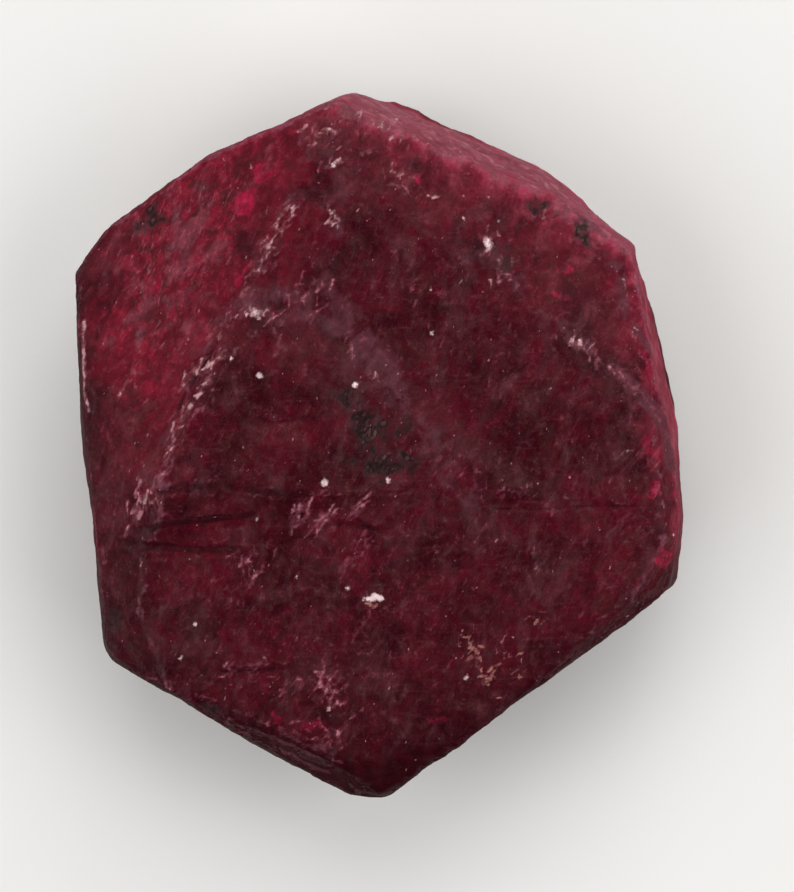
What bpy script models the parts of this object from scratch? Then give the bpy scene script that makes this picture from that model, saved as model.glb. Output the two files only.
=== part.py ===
"""A raw ruby: one six-sided, tabular corundum crystal that lies on its basal face.

Everything is in millimetres until the last step, which scales the finished mesh to metres.
The origin is under the middle of the crystal, on the surface that it lies on. +Z runs up the
crystal's c axis, +Y towards its pointed end and +X to its right.
"""

import math
import random
from collections import namedtuple

import bmesh
import bpy
import numpy as np
from mathutils import Matrix, Vector, noise

NAME = "ruby_crystal"
MM = 0.001
SEED = 11

# Driving sizes. The faces below are laid out for them, and the finished crystal is fitted to them.
WIDTH = 22.5
LENGTH = 26.0
HEIGHT = 9.6

# How finely the relief is made, and how many triangles are left of it.
VOXEL = 0.14
TRIANGLES = 8800

# A flat face looks towards azimuth, in degrees anticlockwise from +X seen from above. Its slope is
# 0 where it faces straight up, 90 where it is upright and 180 where it faces straight down. It
# passes at the horizontal distance reach from the c axis, at the height level.
Face = namedtuple("Face", "azimuth slope reach level")

CROWN_FACES = [
    Face(350, 4, 0.0, 8.75),
    Face(268, 10, 2.6, 8.68),
    Face(152, 25, 6.77, 9.2),
    Face(84, 30, 10.3, 8.9),
    Face(57, 24, 8.4, 8.6),
    Face(43, 25, 7.6, 8.4),
    Face(4, 45, 10.4, 8.0),
    Face(330, 50, 11.3, 7.6),
    Face(306, 52, 10.35, 7.6),
    Face(278, 36, 11.2, 7.1),
    Face(249, 62, 11.06, 7.25),
    Face(214, 36, 11.0, 7.8),
    Face(187, 40, 9.3, 8.3),
]
PRISM_FACES = [
    Face(5, 88, 11.05, 5.0),
    Face(13, 85, 11.1, 4.0),
    Face(32, 80, 12.15, 4.0),
    Face(55, 77, 11.68, 4.0),
    Face(66, 77, 11.68, 4.0),
    Face(93, 80, 13.04, 5.0),
    Face(113, 90, 12.3, 6.0),
    Face(124, 92, 12.36, 7.0),
    Face(144, 93, 12.95, 7.0),
    Face(160, 92, 12.96, 5.0),
    Face(177, 87, 11.35, 4.0),
    Face(186, 87, 10.85, 4.0),
    Face(213, 83, 12.72, 4.0),
    Face(241, 87, 11.93, 3.6),
    Face(268, 84, 13.0, 4.0),
    Face(307, 94, 10.8, 7.0),
    Face(331, 89, 12.12, 5.0),
]
BASE_FACES = [
    Face(0, 180, 0.0, 0.0),
    Face(8, 132, 8.6, 0.0),
    Face(62, 128, 9.0, 0.0),
    Face(90, 122, 10.8, 0.0),
    Face(122, 130, 9.4, 0.0),
    Face(184, 124, 8.6, 0.0),
    Face(240, 130, 9.2, 0.0),
    Face(270, 120, 11.0, 0.0),
    Face(306, 126, 8.2, 0.0),
]

# The thick growth layer that stands on the middle of the crown, down to a floor inside the body.
PLATE_FLOOR = 8.35
PLATE_FACES = [
    Face(350, 5.4, 0.0, 9.0),
    Face(150, 50, 6.55, 9.6),
    Face(130, 26, 6.2, 9.45),
    Face(196, 56, 8.3, 9.5),
    Face(38, 14, 1.5, 8.9),
    Face(277.6, 35, 1.69, 8.97),
    Face(0, 180, 0.0, PLATE_FLOOR),
]

# Shell-shaped chips off the edges: where their middle is, how wide they curve and how deep they bite.
Chip = namedtuple("Chip", "azimuth level radius bite")
CHIPS = [
    Chip(38, 1.4, 5.0, 0.55),
    Chip(97, 1.7, 4.4, 0.4),
    Chip(148, 1.2, 5.5, 0.6),
    Chip(196, 2.6, 4.0, 0.35),
    Chip(219, 1.4, 5.0, 0.5),
    Chip(262, 0.6, 5.0, 0.4),
    Chip(318, 1.2, 5.0, 0.5),
    Chip(337, 2.4, 3.6, 0.35),
]

# Three-sided etch pits sunk in the basal face: where they are, how wide and how deep. The pit's
# floor is this share of its width at the mouth, and its cutter starts a little below the face.
PIT_FLOOR = 0.25
CUT_BELOW = 0.2
EtchPit = namedtuple("EtchPit", "x y size depth")
ETCH_PITS = [
    EtchPit(-2.6, 3.4, 2.3, 0.45),
    EtchPit(3.8, -2.2, 1.7, 0.35),
    EtchPit(-4.6, -4.4, 1.2, 0.28),
    EtchPit(2.4, 6.0, 1.3, 0.3),
    EtchPit(-0.2, -7.6, 1.5, 0.3),
]

# A ledge steps down on the right-hand side of the line from start to end, and the low ground rises
# back to its old height over about the run. The middle of the line bows out to its left.
Ledge = namedtuple("Ledge", "start end bow drop run")
LEDGES = [
    Ledge((-9.1, -1.8), (-4.6, -1.55), 0.15, 0.3, 0.6),
    Ledge((-9.2, -2.95), (-4.5, -2.5), 0.1, 0.32, 0.6),
    Ledge((-9.4, -3.6), (-5.3, -3.65), 0.1, 0.36, 1.0),
    Ledge((3.5, -2.1), (10.0, -2.4), 0.3, 0.1, 0.9),
    Ledge((-5.9, -8.1), (-3.2, -7.95), 0.1, 0.2, 0.9),
    Ledge((8.5, -3.4), (10.6, -3.9), 0.9, 0.14, 0.8),
    Ledge((-2.4, -2.9), (0.6, -3.3), 0.3, 0.16, 0.7),
    Ledge((-4.9, 0.82), (-2.2, 0.9), 0.05, 0.16, 0.6),
    Ledge((-9.5, -5.4), (-8.4, -9.6), 0.2, 0.2, 0.8),
]
LEDGE_EDGE = 0.2
LEDGE_TAPER = 0.15

# The groove that runs beside the long upper-left ridge.
GROOVE_START = (-5.5, 5.2)
GROOVE_END = (-7.6, 0.6)
GROOVE_WIDTH = 0.26
GROOVE_DEPTH = 0.18
GROOVE_TAPER = 0.1

# Thin three-sided growth layers scattered over the crown and the basal face, as far out from the
# middle as this share of the width and the length.
LAYER_SPREAD = 0.42
LAYER_COUNT = 22
LAYER_SIZES = (0.6, 2.2)
LAYER_THICKNESSES = (0.03, 0.07)
LAYER_BEVEL = 0.3
CROWN_LAYER_SIDES = (270, 38, 155)
BASE_LAYER_SIDES = (90, 218, 335)

# Rough ground: fractal lumps everywhere, and horizontal growth lines on the prism faces.
LUMP_SIZE = 2.8
LUMP_HEIGHT = 0.09
GRAIN_SIZE = 0.9
GRAIN_HEIGHT = 0.035
LINE_SPACING = 1.1
LINE_DEPTH = 0.12
LINE_LENGTH = 9.0

# A surface carries the crown's relief once its normal's z passes CROWN_NORMAL, and is flat ground of
# the basal face below minus BASE_NORMAL. Each takes hold over NORMAL_FADE.
CROWN_NORMAL = 0.3
BASE_NORMAL = 0.75
NORMAL_FADE = 0.2

# Ground this close to the basal face lies on it, and the base's growth layers stay under BASE_TOP.
FLAT_REST = 0.02
BASE_TOP = 1.0


def normal_of(face):
    """The direction that a face looks in."""
    azimuth = math.radians(face.azimuth)
    slope = math.radians(face.slope)
    across = math.sin(slope)
    return Vector((across * math.cos(azimuth), across * math.sin(azimuth), math.cos(slope)))


def point_on(face):
    """A point that a face passes through."""
    azimuth = math.radians(face.azimuth)
    return Vector((face.reach * math.cos(azimuth), face.reach * math.sin(azimuth), face.level))


def add_object(name, bm, collection):
    """A new object that holds this bmesh, which is freed."""
    mesh = bpy.data.meshes.new(name)
    bmesh.ops.recalc_face_normals(bm, faces=bm.faces)
    bm.to_mesh(mesh)
    bm.free()
    made = bpy.data.objects.new(name, mesh)
    collection.objects.link(made)
    return made


def crystal_cut(name, faces, collection):
    """A block cut down to the convex crystal that lies behind all of these faces."""
    bm = bmesh.new()
    bmesh.ops.create_cube(bm, size=2 * LENGTH)
    for face in faces:
        everything = bm.verts[:] + bm.edges[:] + bm.faces[:]
        cut = bmesh.ops.bisect_plane(
            bm,
            geom=everything,
            dist=1e-5,
            plane_co=point_on(face),
            plane_no=normal_of(face),
            clear_outer=True,
        )
        rim = [part for part in cut["geom_cut"] if isinstance(part, bmesh.types.BMEdge)]
        if rim:
            bmesh.ops.edgeloop_fill(bm, edges=rim)
    return add_object(name, bm, collection)


def reach_at(azimuth, level):
    """How far the prism stands out from the c axis, in this direction and at this height."""
    away = Vector((math.cos(math.radians(azimuth)), math.sin(math.radians(azimuth)), 0))
    start = Vector((0, 0, level))
    reaches = []
    for face in PRISM_FACES + BASE_FACES:
        facing = normal_of(face).dot(away)
        if facing > 0:
            reaches.append(normal_of(face).dot(point_on(face) - start) / facing)
    return min(reaches)


def chip_cutter(chip, collection):
    """The ball whose surface is the chip's shell-shaped scar."""
    out = reach_at(chip.azimuth, chip.level) + chip.radius - chip.bite
    azimuth = math.radians(chip.azimuth)
    place = Matrix.Translation((out * math.cos(azimuth), out * math.sin(azimuth), chip.level))
    bm = bmesh.new()
    bmesh.ops.create_icosphere(bm, subdivisions=4, radius=chip.radius, matrix=place)
    return add_object("chip_cutter", bm, collection)


def etch_pit_cutter(pit, collection):
    """A three-sided cone that points up into the basal face."""
    height = pit.depth + CUT_BELOW
    place = Matrix.Translation((pit.x, pit.y, height / 2 - CUT_BELOW))
    bm = bmesh.new()
    bmesh.ops.create_cone(
        bm,
        cap_ends=True,
        segments=3,
        radius1=pit.size * height / pit.depth,
        radius2=PIT_FLOOR * pit.size,
        depth=height,
        matrix=place,
    )
    return add_object("etch_pit_cutter", bm, collection)


def add_boolean(target, other, operation):
    """Joins the other solid to the target, or cuts it away."""
    boolean = target.modifiers.new(other.name, "BOOLEAN")
    boolean.operation = operation
    boolean.object = other
    other.hide_render = True
    other.display_type = "WIRE"


def smooth(value):
    """0 below 0, 1 above 1, and a smooth rise between."""
    t = np.clip(value, 0.0, 1.0)
    return t * t * (3.0 - 2.0 * t)


def ledge_relief(x, y, ledge):
    """How far a ledge lowers the ground at these points."""
    start = np.array(ledge.start)
    line = np.array(ledge.end) - start
    length = np.hypot(*line)
    along = ((x - start[0]) * line[0] + (y - start[1]) * line[1]) / length**2
    beyond = ((x - start[0]) * line[1] - (y - start[1]) * line[0]) / length
    beyond = beyond + ledge.bow * 4.0 * along * (1.0 - along)
    ends = smooth(along / LEDGE_TAPER) * smooth((1.0 - along) / LEDGE_TAPER)
    fade = np.exp(-np.maximum(beyond, 0.0) / ledge.run)
    return -ledge.drop * ends * fade * smooth(beyond / LEDGE_EDGE + 0.5)


def groove_relief(x, y):
    """How far the groove lowers the ground at these points."""
    start = np.array(GROOVE_START)
    line = np.array(GROOVE_END) - start
    length = np.hypot(*line)
    along = ((x - start[0]) * line[0] + (y - start[1]) * line[1]) / length**2
    beside = ((x - start[0]) * line[1] - (y - start[1]) * line[0]) / length
    ends = smooth(along / GROOVE_TAPER) * smooth((1.0 - along) / GROOVE_TAPER)
    return -GROOVE_DEPTH * ends * np.exp(-((beside / GROOVE_WIDTH) ** 2))


def layer_relief(x, y, sides, seed):
    """How far the scattered three-sided growth layers raise the ground at these points."""
    chance = random.Random(seed)
    raised = np.zeros_like(x)
    for _ in range(LAYER_COUNT):
        centre_x = chance.uniform(-LAYER_SPREAD, LAYER_SPREAD) * WIDTH
        centre_y = chance.uniform(-LAYER_SPREAD, LAYER_SPREAD) * LENGTH
        size = chance.uniform(*LAYER_SIZES)
        thickness = chance.uniform(*LAYER_THICKNESSES)
        out = np.full_like(x, -np.inf)
        for side in sides:
            direction = math.radians(side)
            across = (x - centre_x) * math.cos(direction) + (y - centre_y) * math.sin(direction)
            out = np.maximum(out, across)
        raised += thickness * smooth((size - out) / LAYER_BEVEL)
    return raised


def lumps(points, sizes, octaves):
    """Fractal noise at these points, about -1 to 1, with lumps of about these sizes along X, Y and Z."""
    places = points / np.array(sizes)
    return np.array([noise.fractal(Vector(place), 0.9, 2.1, octaves) for place in places])


def relief(points, normals):
    """Where the weathered surface stands for these points of the sharp-edged crystal."""
    x, y, z = points.T
    up = smooth((normals[:, 2] - CROWN_NORMAL) / NORMAL_FADE)
    down = smooth((-normals[:, 2] - BASE_NORMAL) / NORMAL_FADE)
    side = 1.0 - up - down
    raised = layer_relief(x, y, CROWN_LAYER_SIDES, SEED) + groove_relief(x, y)
    for ledge in LEDGES:
        raised += ledge_relief(x, y, ledge)
    hollow = layer_relief(x, y, BASE_LAYER_SIDES, SEED + 1) - LAYER_THICKNESSES[1]
    rough = LUMP_HEIGHT * lumps(points, [LUMP_SIZE] * 3, 3)
    rough += GRAIN_HEIGHT * lumps(points, [GRAIN_SIZE] * 3, 2)
    rough += side * LINE_DEPTH * lumps(points, [LINE_LENGTH, LINE_LENGTH, LINE_SPACING], 3)
    rough *= z >= FLAT_REST
    moved = points + normals * rough[:, None]
    moved[:, 2] += up * raised + down * np.maximum(hollow, 0.0) * (z < BASE_TOP)
    return moved


def coordinates(mesh):
    """The mesh's points, as rows."""
    points = np.empty(len(mesh.vertices) * 3)
    mesh.vertices.foreach_get("co", points)
    return points.reshape(-1, 3)


def evaluated_mesh(body):
    """The body's mesh with its modifiers applied."""
    graph = bpy.context.evaluated_depsgraph_get()
    return bpy.data.meshes.new_from_object(body.evaluated_get(graph))


def weathered(body):
    """Replaces the body's sharp mesh by an even one that carries the relief."""
    remesh = body.modifiers.new("even", "REMESH")
    remesh.mode = "VOXEL"
    remesh.voxel_size = VOXEL
    mesh = evaluated_mesh(body)
    normals = np.empty(len(mesh.vertices) * 3)
    mesh.vertices.foreach_get("normal", normals)
    moved = relief(coordinates(mesh), normals.reshape(-1, 3))
    mesh.vertices.foreach_set("co", moved.ravel())
    body.modifiers.clear()
    body.data = mesh


def thinned(body):
    """Keeps the triangles where the relief needs them."""
    body.data.calc_loop_triangles()
    decimate = body.modifiers.new("thin", "DECIMATE")
    decimate.ratio = TRIANGLES / len(body.data.loop_triangles)
    mesh = evaluated_mesh(body)
    body.modifiers.clear()
    body.data = mesh


def fit_to_size(body):
    """Lays the crystal flat, fits it to its driving sizes and centres it, and scales it to metres."""
    points = coordinates(body.data)
    points[:, 2] = np.where(points[:, 2] < FLAT_REST, 0.0, points[:, 2])
    low, high = points.min(axis=0), points.max(axis=0)
    middle = (low + high) / 2
    middle[2] = 0.0
    points = (points - middle) * np.array((WIDTH, LENGTH, HEIGHT)) / (high - low)
    body.data.vertices.foreach_set("co", (points * MM).ravel())


def ruby_material():
    """Deep wine-red corundum with a dull, frosted lustre."""
    material = bpy.data.materials.new("raw_ruby")
    material.use_nodes = True
    surface = material.node_tree.nodes["Principled BSDF"]
    surface.inputs["Base Color"].default_value = (0.105, 0.008, 0.016, 1.0)
    surface.inputs["Roughness"].default_value = 0.42
    surface.inputs["Metallic"].default_value = 0.0
    surface.inputs["IOR"].default_value = 1.77
    return material


def main():
    """Builds the crystal."""
    for obj in list(bpy.data.objects):
        bpy.data.objects.remove(obj)
    crystal = bpy.data.collections.new(NAME)
    cutters = bpy.data.collections.new("cutters")
    bpy.context.scene.collection.children.link(crystal)
    bpy.context.scene.collection.children.link(cutters)

    body = crystal_cut(NAME, CROWN_FACES + PRISM_FACES + BASE_FACES, crystal)
    add_boolean(body, crystal_cut("centre_plate", PLATE_FACES, cutters), "UNION")
    for chip in CHIPS:
        add_boolean(body, chip_cutter(chip, cutters), "DIFFERENCE")
    for pit in ETCH_PITS:
        add_boolean(body, etch_pit_cutter(pit, cutters), "DIFFERENCE")
    weathered(body)
    thinned(body)
    fit_to_size(body)
    for cutter in cutters.objects:
        cutter.data.transform(Matrix.Scale(MM, 4))
    body.data.materials.append(ruby_material())


main()
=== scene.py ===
"""The looks of a raw ruby: one tabular corundum crystal, lying on a pale card.

Shapes are worked out in millimetres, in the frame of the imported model: the origin is under the
middle of the crystal, +Z runs up its c axis, +Y towards its pointed end and +X to its right. The
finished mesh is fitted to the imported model's box and scaled to metres.
"""

import logging
import math
import random
from dataclasses import dataclass
from enum import Enum
from typing import Any

import bmesh
import bpy
import numpy as np
from mathutils import Matrix, Vector, noise


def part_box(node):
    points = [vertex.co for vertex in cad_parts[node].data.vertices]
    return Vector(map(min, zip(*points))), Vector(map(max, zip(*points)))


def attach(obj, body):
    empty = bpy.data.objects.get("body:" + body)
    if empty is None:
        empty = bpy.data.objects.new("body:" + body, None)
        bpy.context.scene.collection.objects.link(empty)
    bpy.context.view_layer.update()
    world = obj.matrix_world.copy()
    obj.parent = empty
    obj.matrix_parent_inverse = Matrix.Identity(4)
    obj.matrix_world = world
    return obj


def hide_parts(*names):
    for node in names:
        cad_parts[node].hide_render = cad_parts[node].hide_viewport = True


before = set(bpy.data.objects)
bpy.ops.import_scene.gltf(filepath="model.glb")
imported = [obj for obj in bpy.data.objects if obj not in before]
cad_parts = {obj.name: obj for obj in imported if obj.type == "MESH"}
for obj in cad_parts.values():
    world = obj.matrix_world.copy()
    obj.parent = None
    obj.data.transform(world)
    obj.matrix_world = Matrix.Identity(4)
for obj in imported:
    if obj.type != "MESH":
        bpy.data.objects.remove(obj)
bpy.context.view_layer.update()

LOG = logging.getLogger("ruby")

MM = 0.001
NODE = "ruby_crystal"
PIECE = "raw_ruby_crystal"

# Points have a row of x, y and z each, and values one number each.
Points = np.ndarray
Values = np.ndarray

# Each layer of fractal noise is this many times finer than the last, and fades with this power.
NOISE_STEP = 2.1
NOISE_FADE = 0.9
# Most of what a noise texture gives lies between these.
NOISE_RANGE = (0.3, 0.7)
# A mark fades out to nothing at this many times its half-width.
MARK_REACH = 1.5
# The crown is what faces up by more than this, blended in over so much more.
CROWN_TILT = 0.3
TILT_BLEND = 0.2


def linear(hex_colour: str) -> tuple[float, float, float, float]:
    """Turns an sRGB colour into the linear one that a shader takes.

    Args:
        hex_colour: The colour as #rrggbb.

    Returns:
        Red, green, blue and an alpha of 1.
    """
    shares = [int(hex_colour[i : i + 2], 16) / 255 for i in (1, 3, 5)]
    red, green, blue = [s / 12.92 if s <= 0.04045 else ((s + 0.055) / 1.055) ** 2.4 for s in shares]
    return red, green, blue, 1.0


def add_node(
    tree: bpy.types.NodeTree,
    kind: str,
    inputs: dict[Any, Any],
    **settings: Any,
) -> bpy.types.Node:
    """Adds a shader node.

    Args:
        tree: The node tree that it joins.
        kind: The node's type.
        inputs: For each input, by name or number, the socket that feeds it or its value.
        settings: The node's own properties.

    Returns:
        The node.
    """
    node = tree.nodes.new(kind)
    for name, value in settings.items():
        setattr(node, name, value)
    for name, value in inputs.items():
        if isinstance(value, bpy.types.NodeSocket):
            tree.links.new(value, node.inputs[name])
        else:
            node.inputs[name].default_value = value
    return node


def smooth(value: Values) -> Values:
    """0 below 0, 1 above 1, and a smooth rise between."""
    share = np.clip(value, 0.0, 1.0)
    return share * share * (3.0 - 2.0 * share)


def crown_share(normals: Points) -> Values:
    """How far each place belongs to the crown, 0 to 1."""
    return smooth((normals[:, 2] - CROWN_TILT) / TILT_BLEND)


def linked(name: str, data: bpy.types.ID) -> bpy.types.Object:
    """Adds an object to the scene.

    Args:
        name: The object's name.
        data: The mesh, light or camera that it holds.

    Returns:
        The new object.
    """
    obj = bpy.data.objects.new(name, data)
    bpy.context.scene.collection.objects.link(obj)
    return obj


def lumps(points: Points, sizes: tuple[float, float, float], octaves: int, turn: float = 0.0) -> Values:
    """Fractal noise, about -1 to 1.

    Args:
        points: Where it is read, as rows.
        sizes: How large its lumps are along X, Y and Z, after the turn.
        octaves: How many ever finer layers it has.
        turn: The direction that the lumps' own X runs in, in degrees from +X.

    Returns:
        One value for each point.
    """
    angle = math.radians(turn)
    x, y, z = points.T
    along = x * math.cos(angle) + y * math.sin(angle)
    across = y * math.cos(angle) - x * math.sin(angle)
    places = np.stack([along, across, z], axis=1) / np.array(sizes)
    return np.array([noise.fractal(Vector(place), NOISE_FADE, NOISE_STEP, octaves) for place in places])


@dataclass(frozen=True)
class Face:
    """A flat crystal face.

    It looks towards azimuth, in degrees anticlockwise from +X seen from above. Its slope is 0 where
    it faces straight up, 90 where it is upright and 180 where it faces straight down. It passes at
    the horizontal distance reach from the c axis, at the height level. Its glow is painted light: how
    far its colour goes from dark wine to crimson, for the light that falls on it and shines through it.
    Its rim is painted light too, for the light that went in through it and comes out again beside it.
    Below 0 they are painted shade: how far the colour goes towards black.
    """

    azimuth: float
    slope: float
    reach: float
    level: float
    glow: float = 0.0
    rim: float = 0.0

    def normal(self) -> Vector:
        """Works out the direction that the face looks in.

        Returns:
            A unit vector.
        """
        azimuth, slope = math.radians(self.azimuth), math.radians(self.slope)
        across = math.sin(slope)
        return Vector((across * math.cos(azimuth), across * math.sin(azimuth), math.cos(slope)))

    def point(self) -> Vector:
        """A point that the face passes through."""
        azimuth = math.radians(self.azimuth)
        return Vector((self.reach * math.cos(azimuth), self.reach * math.sin(azimuth), self.level))

    def depth(self, points: Points) -> Values:
        """How far these points lie behind the face's plane."""
        return (np.array(self.point()) - points) @ np.array(self.normal())


@dataclass(frozen=True)
class Chip:
    """A shell-shaped chip off an edge: where its middle is, how wide it curves and how deep it bites."""

    azimuth: float
    level: float
    radius: float
    bite: float


@dataclass(frozen=True)
class EtchPit:
    """A three-sided pit sunk in the basal face."""

    x: float
    y: float
    size: float
    depth: float


@dataclass(frozen=True)
class Ledge:
    """A step down on the right-hand side of the line from start to end.

    The low ground rises back to its old height over about the run. The middle of the line bows out
    to its left.
    """

    start: tuple[float, float]
    end: tuple[float, float]
    bow: float
    drop: float
    run: float
    edge: float = 0.24
    taper: float = 0.15

    def relief(self, x: Values, y: Values) -> Values:
        """Works out the step's relief.

        Args:
            x: Where the points are along X.
            y: Where they are along Y.

        Returns:
            How far the ground rises at each point. It is below 0 where the ledge lowers it.
        """
        line = np.subtract(self.end, self.start)
        length = np.hypot(*line)
        along = ((x - self.start[0]) * line[0] + (y - self.start[1]) * line[1]) / length**2
        beyond = ((x - self.start[0]) * line[1] - (y - self.start[1]) * line[0]) / length
        beyond = beyond + self.bow * 4.0 * along * (1.0 - along)
        ends = smooth(along / self.taper) * smooth((1.0 - along) / self.taper)
        fade = np.exp(-np.maximum(beyond, 0.0) / self.run)
        return -self.drop * ends * fade * smooth(beyond / self.edge + 0.5)


class Kind(Enum):
    """What a mark on the surface is. Each value names the mesh attribute that holds it.

    Frost is bright splinters, with painted highlights and a painted reflection among them, feather
    duller ones and a veil a dull band. A glow is a crimson spot of painted light, a hollow a slit or
    dent with painted shade in it, an inclusion near-black grains in the stone, a crust a scab of other
    rock on it, and a glint a painted point of light.
    """

    FROST_AND_HIGHLIGHT = "frost_and_highlight"
    GLOW = "glow"
    SHADED_HOLLOW = "hollow"
    INCLUSION = "inclusion"
    CRUST = "crust"
    FEATHER = "feather"
    VEIL = "veil"
    GLINT = "glint"


@dataclass(frozen=True)
class Stroke:
    """A broad line through some points."""

    points: tuple[tuple[float, float], ...]
    width: float

    def cover(self, x: Values, y: Values) -> Values:
        """Works out how strongly the stroke covers some points.

        Args:
            x: Where the points are along X.
            y: Where they are along Y.

        Returns:
            One value from 0 to 1 for each point.
        """
        nearest = np.full_like(x, np.inf)
        for (x0, y0), (x1, y1) in zip(self.points, self.points[1:]):
            dx, dy = x1 - x0, y1 - y0
            along = np.clip(((x - x0) * dx + (y - y0) * dy) / (dx * dx + dy * dy), 0.0, 1.0)
            nearest = np.minimum(nearest, np.hypot(x - x0 - along * dx, y - y0 - along * dy))
        return smooth(MARK_REACH - nearest / (0.5 * self.width))


@dataclass(frozen=True)
class Seam:
    """A mark that runs along a line of points."""

    kind: Kind
    points: tuple[tuple[float, float], ...]
    width: float
    strength: float = 1.0

    def cover(self, x: Values, y: Values) -> Values:
        """How strongly the mark covers these points, 0 to 1."""
        return self.strength * Stroke(self.points, self.width).cover(x, y)


@dataclass(frozen=True)
class Patch:
    """A mark that covers an ellipse, whose length runs at an angle from +X."""

    kind: Kind
    x: float
    y: float
    length: float
    width: float
    angle: float = 0.0
    strength: float = 1.0

    def cover(self, x: Values, y: Values) -> Values:
        """Works out how strongly the mark covers some points.

        Args:
            x: Where the points are along X.
            y: Where they are along Y.

        Returns:
            One value from 0 to 1 for each point.
        """
        turn = math.radians(self.angle)
        along = (x - self.x) * math.cos(turn) + (y - self.y) * math.sin(turn)
        across = (y - self.y) * math.cos(turn) - (x - self.x) * math.sin(turn)
        out = np.hypot(along / (0.5 * self.length), across / (0.5 * self.width))
        return self.strength * smooth(MARK_REACH - out)


@dataclass(frozen=True)
class Flecks:
    """Short strokes scattered along a line, such as the splinters of a worn edge.

    They stray from the line by about spread. Their own length runs within about lean degrees of
    angle, which is counted from +X. Each one's length and strength is a share, between these two, of
    what is usual.
    """

    kind: Kind
    points: tuple[tuple[float, float], ...]
    spread: float
    count: int
    length: float = 0.4
    strength: float = 0.8
    angle: float = 63.0
    lean: float = 18.0
    width: float = 0.12
    length_shares: tuple[float, float] = (0.3, 1.3)
    strength_shares: tuple[float, float] = (0.4, 1.0)

    def cover(self, x: Values, y: Values, chance: random.Random) -> Values:
        """How strongly the strokes cover some points.

        Args:
            x: Where the points are along X.
            y: Where they are along Y.
            chance: What scatters the strokes.

        Returns:
            One value from 0 to 1 for each point.
        """
        covered = np.zeros_like(x)
        parts = list(zip(self.points, self.points[1:]))
        lengths = [math.dist(*part) for part in parts]
        for _ in range(self.count):
            (x0, y0), (x1, y1) = chance.choices(parts, lengths)[0]
            along = chance.random()
            centre_x = x0 + along * (x1 - x0) + chance.gauss(0.0, self.spread)
            centre_y = y0 + along * (y1 - y0) + chance.gauss(0.0, self.spread)
            turn = math.radians(self.angle + chance.gauss(0.0, self.lean))
            half = 0.5 * self.length * chance.uniform(*self.length_shares)
            run_x, run_y = half * math.cos(turn), half * math.sin(turn)
            ends = ((centre_x - run_x, centre_y - run_y), (centre_x + run_x, centre_y + run_y))
            near = np.flatnonzero(np.maximum(abs(x - centre_x), abs(y - centre_y)) < half + self.width)
            cover = Stroke(ends, self.width).cover(x[near], y[near])
            strength = chance.uniform(*self.strength_shares) * self.strength
            covered[near] = np.maximum(covered[near], strength * cover)
        return covered


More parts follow.
